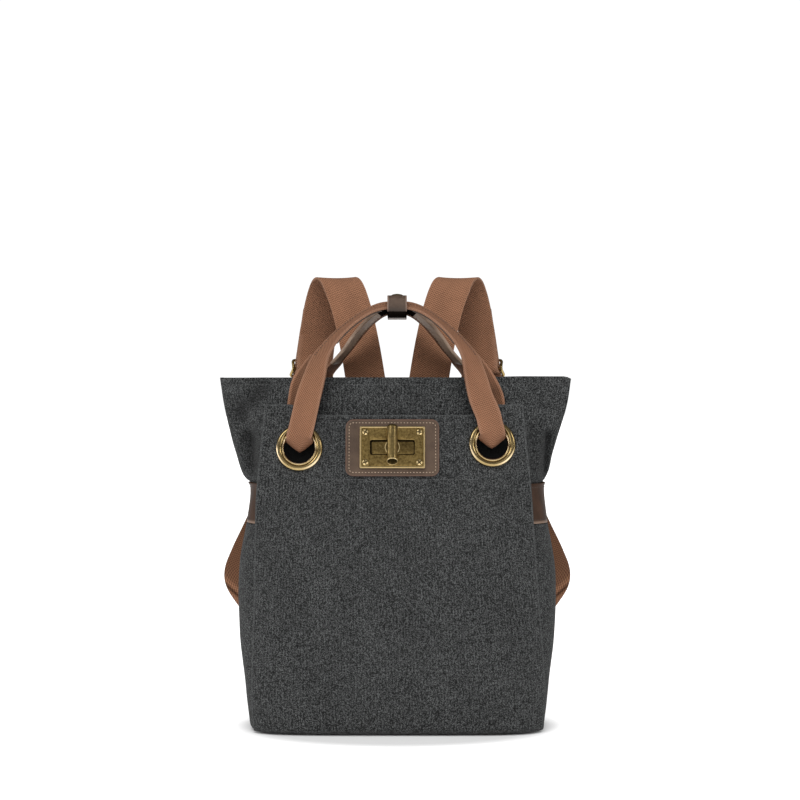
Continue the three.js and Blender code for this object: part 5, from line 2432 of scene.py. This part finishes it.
    def make_webbing(self, name: str, band: Ribbon) -> None:
        """The webbing of a handle.

        Args:
            name: Node that the handle stands for.
            band: Its band.
        """
        piece = add_piece(f"{name}_webbing", band.mesh(), self.finishes.webbing, Slot.WEBBING, [name])
        thicken(piece, self.webbing, 0.0, 0.6)
        band.length

    def under_keeper(self, centre: Vector) -> bool:
        """Whether a place of a grip is in the keeper's shade, its border along the bands' rows."""
        slant = self.shade_slant * (abs(centre.y) - abs(self.front_grip[0].y))
        return abs(centre.x) + slant < self.keeper_shade

    def make_lining(
        self, name: str, band: Ribbon, finish: Material, seam: Sequence[Place] = ()
    ) -> None:
        """The leather under a grip, with the handle's stitches.

        Args:
            name: Node of the handle.
            band: The leather's band.
            finish: Its material.
            seam: Line of a further seam.
        """
        piece = add_piece(f"{name}_leather", band.mesh(), finish, Slot.LEATHER, [f"{name}_lining"])
        shade_faces(piece, self.finishes.shaded, self.under_keeper)
        thicken(piece, self.lining, 0.0, 0.35)
        bm = new_mesh()
        inset = band.width / 2 - self.stitch_inset
        for across in (-inset, inset):
            if across + band.shift > -self.width / 2:
                self.thread.sew(bm, band.line(across, -1.0))
        self.seam_thread.sew(bm, seam)
        add_piece(f"{name}_stitches", bm, self.finishes.brown_thread, Slot.LEATHER)


def mirrored(row: BandRow) -> BandRow:
    """The row on the other side of the bag."""
    return row._replace(x=-row.x, across=(-row.across[0], row.across[1], row.across[2]))


def on_back(body: BodyShape, x: float, z: float, lean: float, flip: float, lift: float) -> BandRow:
    """Row of webbing that lies on the back wall, its width along the wall.

    Args:
        body: The body's shape.
        x: Place along the width.
        z: Height.
        lean: Slope of the band's width.
        flip: -1 turns the band over.
        lift: Distance of the band's middle from the wall.

    Returns:
        The row.
    """
    reach = 8.0
    y = body.wall_depth(Wall.BACK, x, z) + lift
    fall = body.wall_depth(Wall.BACK, x + reach, z) - body.wall_depth(Wall.BACK, x - reach, z)
    across = flip * Vector((2 * reach, fall, 2 * reach * lean))
    return BandRow(x, y, z, tuple(across))


@dataclass
class Keeper:
    """Leather loop round both handles with a snap cap on top."""

    finishes: Finishes
    depth: float = 58.0
    height: float = 17.2
    width: float = 18.0
    wall: float = 1.8
    corner: float = 6.0
    z: float = 387.6
    tilt: float = -4.0
    lip_from: float = 8.0
    stud_radius: float = 7.0
    stud_height: float = 4.4
    dome: tuple[tuple[float, float], ...] = (
        (0.0, 0.0), (1.0, 0.0), (1.0, 0.25), (0.95, 0.42), (0.82, 0.68), (0.6, 0.88), (0.3, 0.98), (0.0, 1.0),
    )
    spacing: float = 2.5
    columns: int = 10
    girth: float = 0.15

    def outline(self) -> list[Vector]:
        """Section of the loop, with points along its straight sides too.

        Returns:
            The points.
        """
        corners = rounded_outline(self.depth, self.height, self.corner, 8)
        points = []
        for here, there in zip(corners, corners[1:] + corners[:1]):
            parts = max(1, round((there - here).length / self.spacing))
            points += [here.lerp(there, k / parts) for k in range(parts)]
        return points

    def build(self) -> None:
        """Make the loop and the cap."""
        seat = Matrix.Translation(at(0.0, 0.0, self.z)) @ Matrix.Rotation(math.radians(self.tilt), 4, "X")
        seat = seat @ Matrix.Scale(MM, 4)
        path = self.outline()
        steps = len(path)

        def point(across: float, along: float) -> Vector:
            """Place of a point of the loop's outer face."""
            spot = path[round(along * steps) % steps]
            return seat @ Vector(((across - 0.5) * self.width, spot.x, spot.y))

        def edge(across: float, along: float) -> float:
            """1 along both cut edges, with a painted highlight along the underside below the rear handle, and
            painted shade growing down the front.

            Args:
                across: Share across the loop.
                along: Share round it.

            Returns:
                Value of the edge attribute.
            """
            spot = path[round(along * steps) % steps]
            low = spot.y < -self.height / 2 + 0.5
            if min(across, 1.0 - across) < 0.01 or (low and spot.x > self.lip_from):
                return 1.0
            return -0.6 * ease(-spot.y, -0.2 * self.height, 0.5 * self.height)

        def underside(centre: Vector) -> bool:
            """Whether a place of the loop is on its shaded underside."""
            place = seat.inverted() @ at(*centre)
            return place.z < -self.height / 2 + 0.35 * self.corner and place.y < self.lip_from

        bm = cloth_grid(self.columns, steps, point, (self.width * MM, self.girth), edge)
        bmesh.ops.remove_doubles(bm, verts=bm.verts, dist=1e-6)
        bmesh.ops.recalc_face_normals(bm, faces=bm.faces)
        loop = add_piece("keeper_loop", bm, self.finishes.keeper_leather, Slot.LEATHER, ["handle_keeper"])
        shade_faces(loop, self.finishes.shaded, underside)
        thicken(loop, self.wall, -1.0, 0.45)
        bm = new_mesh()
        turned(bm, [(r * self.stud_radius, h * self.stud_height) for r, h in self.dome])
        bmesh.ops.translate(bm, vec=(0.0, 0.0, self.height / 2), verts=bm.verts)
        bmesh.ops.transform(bm, matrix=seat, verts=bm.verts)
        add_piece("keeper_cap", bm, self.finishes.polished, Slot.BRASS, ["keeper_stud"])


@dataclass
class ShoulderStrap:
    """Webbing shoulder strap of one side with its wire slider."""

    side: Side
    body: BodyShape
    finishes: Finishes
    width: float = 38.0
    webbing: float = 2.2
    seam_lift: float = 1.0
    slider_row: int = 13
    slider: tuple[float, float] = (42.0, 16.0)
    wire: float = 1.5
    step: float = 3.2
    thread: Thread = Thread(2.4, 3.3, 0.34)
    top_seam: tuple[tuple[float, float, float], ...] = ((25, 258, 0), (26, 280, -0.05), (28, 302, -0.12))
    free: tuple[BandRow, ...] = (
        BandRow(31, 38, 324, (1, 0, -0.18)),
        BandRow(37, 45, 358, (1, 0, -0.22)),
        BandRow(44, 52, 388, (1, -0.05, -0.28)),
        BandRow(51, 58, 408, (1, -0.15, -0.25)),
        BandRow(57, 66, 417.5, (1, -0.35, -0.1)),
        BandRow(62, 74, 419.5, (1, -0.42, 0)),
        BandRow(66.5, 82, 414, (1, -0.3, 0.1)),
        BandRow(71.6, 89, 400, (0.97, -0.26, 0.15)),
        BandRow(78.2, 95, 372, (0.9, -0.43, 0.18)),
        BandRow(82.6, 98, 346, (0.88, -0.46, 0.2)),
        BandRow(85, 99, 330, (0.89, -0.44, 0.22)),
        BandRow(88, 100, 312, (0.93, -0.3, 0.28)),
        BandRow(98, 101, 265, (1, 0, 0.36)),
        BandRow(117.5, 97, 210, (1, 0, 0.4)),
        BandRow(135.5, 92, 169.5, (0.94, 0, 0.35)),
        BandRow(146.5, 88, 146, (0.95, 0.05, 0.3)),
        BandRow(152, 82, 128.5, (1, 0.1, 0)),
        BandRow(144.5, 75, 115, (0.85, 0.1, -0.5)),
        BandRow(130, 68.5, 99, (0.72, 0.05, -0.68)),
        BandRow(112, 62, 82, (0.68, 0, -0.73)),
    )
    low_seam: tuple[tuple[float, float, float], ...] = ((94, 66, -1.1), (78, 55, -1.1))
    fold: tuple[tuple[float, float], tuple[float, float]] = ((169.6, 122.0), (155.0, 110.4))
    slit: float = 2.3
    slit_soft: tuple[float, float] = (2.0, 5.0)
    loop_fade: tuple[float, float] = (190.0, 240.0)
    loop_reach: float = 30.0
    loop_shade: float = 0.42
    stitch_across: float = 15.5
    wire_bend: float = 3.0
    overlap: tuple[tuple[float, float], ...] = (
        (60, -0.3), (45, 0.2), (30, 1.0), (18, 2.0), (9, 3.4),
        (4, 5.2), (0.8, 6.0), (-2, 5.3), (-3.2, 3.4), (-2.6, 1.6),
    )

    def rows(self) -> list[BandRow]:
        """Rows of the strap from its top seam to its lower seam.

        Returns:
            The rows.
        """
        lift = self.seam_lift + self.webbing / 2
        top = [on_back(self.body, *spot, 1.0, lift) for spot in self.top_seam]
        low = [on_back(self.body, *spot, 1.0, lift) for spot in self.low_seam]
        rows = [*top, *self.free, *low]
        return [mirrored(row) for row in rows] if self.side is Side.LEFT else rows

    def slider_seat(self, rows: Sequence[BandRow]) -> Matrix:
        """Frame of the slider: x across the strap, y up it, z out of its front.

        Args:
            rows: Rows of the strap.

        Returns:
            Matrix from the seat's millimetres to metres.
        """
        above, here, below = rows[self.slider_row - 1 : self.slider_row + 2]
        up = (Vector(above[:3]) - Vector(below[:3])).normalized()
        right = Vector(here.across) * math.copysign(1.0, here.across[0])
        right = (right - right.dot(up) * up).normalized()
        return seat_matrix(right, up, right.cross(up), at(*here[:3]))

    def build(self) -> None:
        """Make the strap with its turned end, its stitches and the slider."""
        word = self.side.word
        rows = self.rows()
        band = Ribbon(rows, self.width, self.webbing, per_row=16, columns=32)
        bm = band.mesh()
        self.mark_fold(bm)
        seat = self.slider_seat(rows)
        ends = [seat @ Vector((0.0, up, out)) / MM - DRAWING_SHIFT for up, out in self.overlap]
        right = seat.to_3x3().normalized() @ Vector((1.0, 0.0, 0.0))
        turned_end = Ribbon([BandRow(*end, tuple(right)) for end in ends], self.width, self.webbing)
        join_mesh(bm, turned_end.mesh())
        faces = [self.finishes.strap_outer, self.finishes.strap]
        if self.side is Side.LEFT:
            faces.reverse()
        strap = add_piece(f"strap_{word}", bm, faces[0], Slot.WEBBING, [f"shoulder_strap_{word}"])
        strap.data.materials.append(faces[1])
        thicken(strap, self.webbing, 0.0, 0.6)
        strap.modifiers["thickness"].material_offset = 1
        length = band.length + turned_end.length
        bm = new_mesh()
        count = len(band.frames) - 1
        for first, last in ((0, 2 * band.per_row), (count - 2 * band.per_row, count)):
            for across in (-self.stitch_across, self.stitch_across):
                self.thread.sew(bm, band.line(across, self.outer_face(band), first, last))
        add_piece(f"strap_{word}_stitches", bm, self.finishes.tan_thread, Slot.WEBBING)
        self.make_slider(seat)

    def mark_fold(self, bm: Mesh) -> None:
        """Shade the inner face of the low loop and the slit under the fold across it.

        Args:
            bm: The strap's mesh.
        """
        mark = bm.verts.layers.float[EDGE_AND_PAINTED_LIGHT_LAYER]
        (outer_x, outer_z), (inner_x, inner_z) = self.fold
        run = Vector((inner_x - outer_x, inner_z - outer_z)).normalized()
        for vert in bm.verts:
            place = vert.co / MM - DRAWING_SHIFT
            away = Vector((abs(place.x) - outer_x, place.z - outer_z))
            if place.z > self.loop_fade[1] or abs(place.x) < inner_x - self.loop_reach:
                continue
            rise = run.y * away.x - run.x * away.y
            low = 1.0 - ease(place.z, *self.loop_fade)
            slit = max(0.0, 1.0 - abs(rise + self.slit) / self.slit)
            vert[mark] = -max(slit, self.loop_shade * low * ease(rise, *self.slit_soft))

    def outer_face(self, band: Ribbon) -> float:
        """1 or -1, whichever face of the band looks away from the bag."""
        return math.copysign(1.0, band.frames[0][2].y)

    def make_slider(self, seat: Matrix) -> None:
        """Bent wire slider: middle bar before the strap, outer bars behind it.

        Args:
            seat: Frame of the slider.
        """
        half_x, half_y = self.slider[0] / 2, self.slider[1] / 2
        corners = [
            Vector((-half_x, half_y, -self.step)),
            Vector((half_x, half_y, -self.step)),
            Vector((half_x, 0.0, self.step)),
            Vector((half_x, -half_y, -self.step)),
            Vector((-half_x, -half_y, -self.step)),
            Vector((-half_x, 0.0, self.step)),
        ]
        loop = [seat @ point for point in rounded_path(corners, self.wire_bend)]
        bm = wire_mesh(loop, self.wire * MM, True)
        bar = [seat @ Vector((x, 0.0, self.step)) for x in (-half_x, 0.0, half_x)]
        join_mesh(bm, wire_mesh(bar, self.wire * MM, False))
        word = self.side.word
        add_piece(f"slider_{word}_wire", bm, self.finishes.polished, Slot.BRASS, [f"strap_slider_{word}"])


def main() -> None:
    """Build the scene in order: camera and light, then the bag from its sack outwards."""
    logging.basicConfig(level=logging.INFO, format="%(name)s: %(message)s")
    Studio().build()
    finishes = Finishes()
    body_shape = BodyShape()
    panel_shape = PanelShape(body_shape)
    eyelets = {Side.LEFT: (-88.6, 257.4), Side.RIGHT: (86.4, 261.0)}
    lock = (-4.2, 257.5)
    Body(body_shape, finishes).build()
    FrontPanel(panel_shape, finishes, tuple(eyelets.values()), lock).build()
    for side in Side:
        SidePocket(side, body_shape, panel_shape, finishes).build()
    seats = {side: panel_shape.seat(*place) for side, place in eyelets.items()}
    for side, seat in seats.items():
        Eyelet(side, seat, finishes).build()
    TurnLock(panel_shape.seat(*lock), finishes).build()
    Handles(body_shape, seats, finishes).build()
    Keeper(finishes).build()
    for side in Side:
        ShoulderStrap(side, body_shape, finishes).build()


if __name__ == "__main__":
    main()
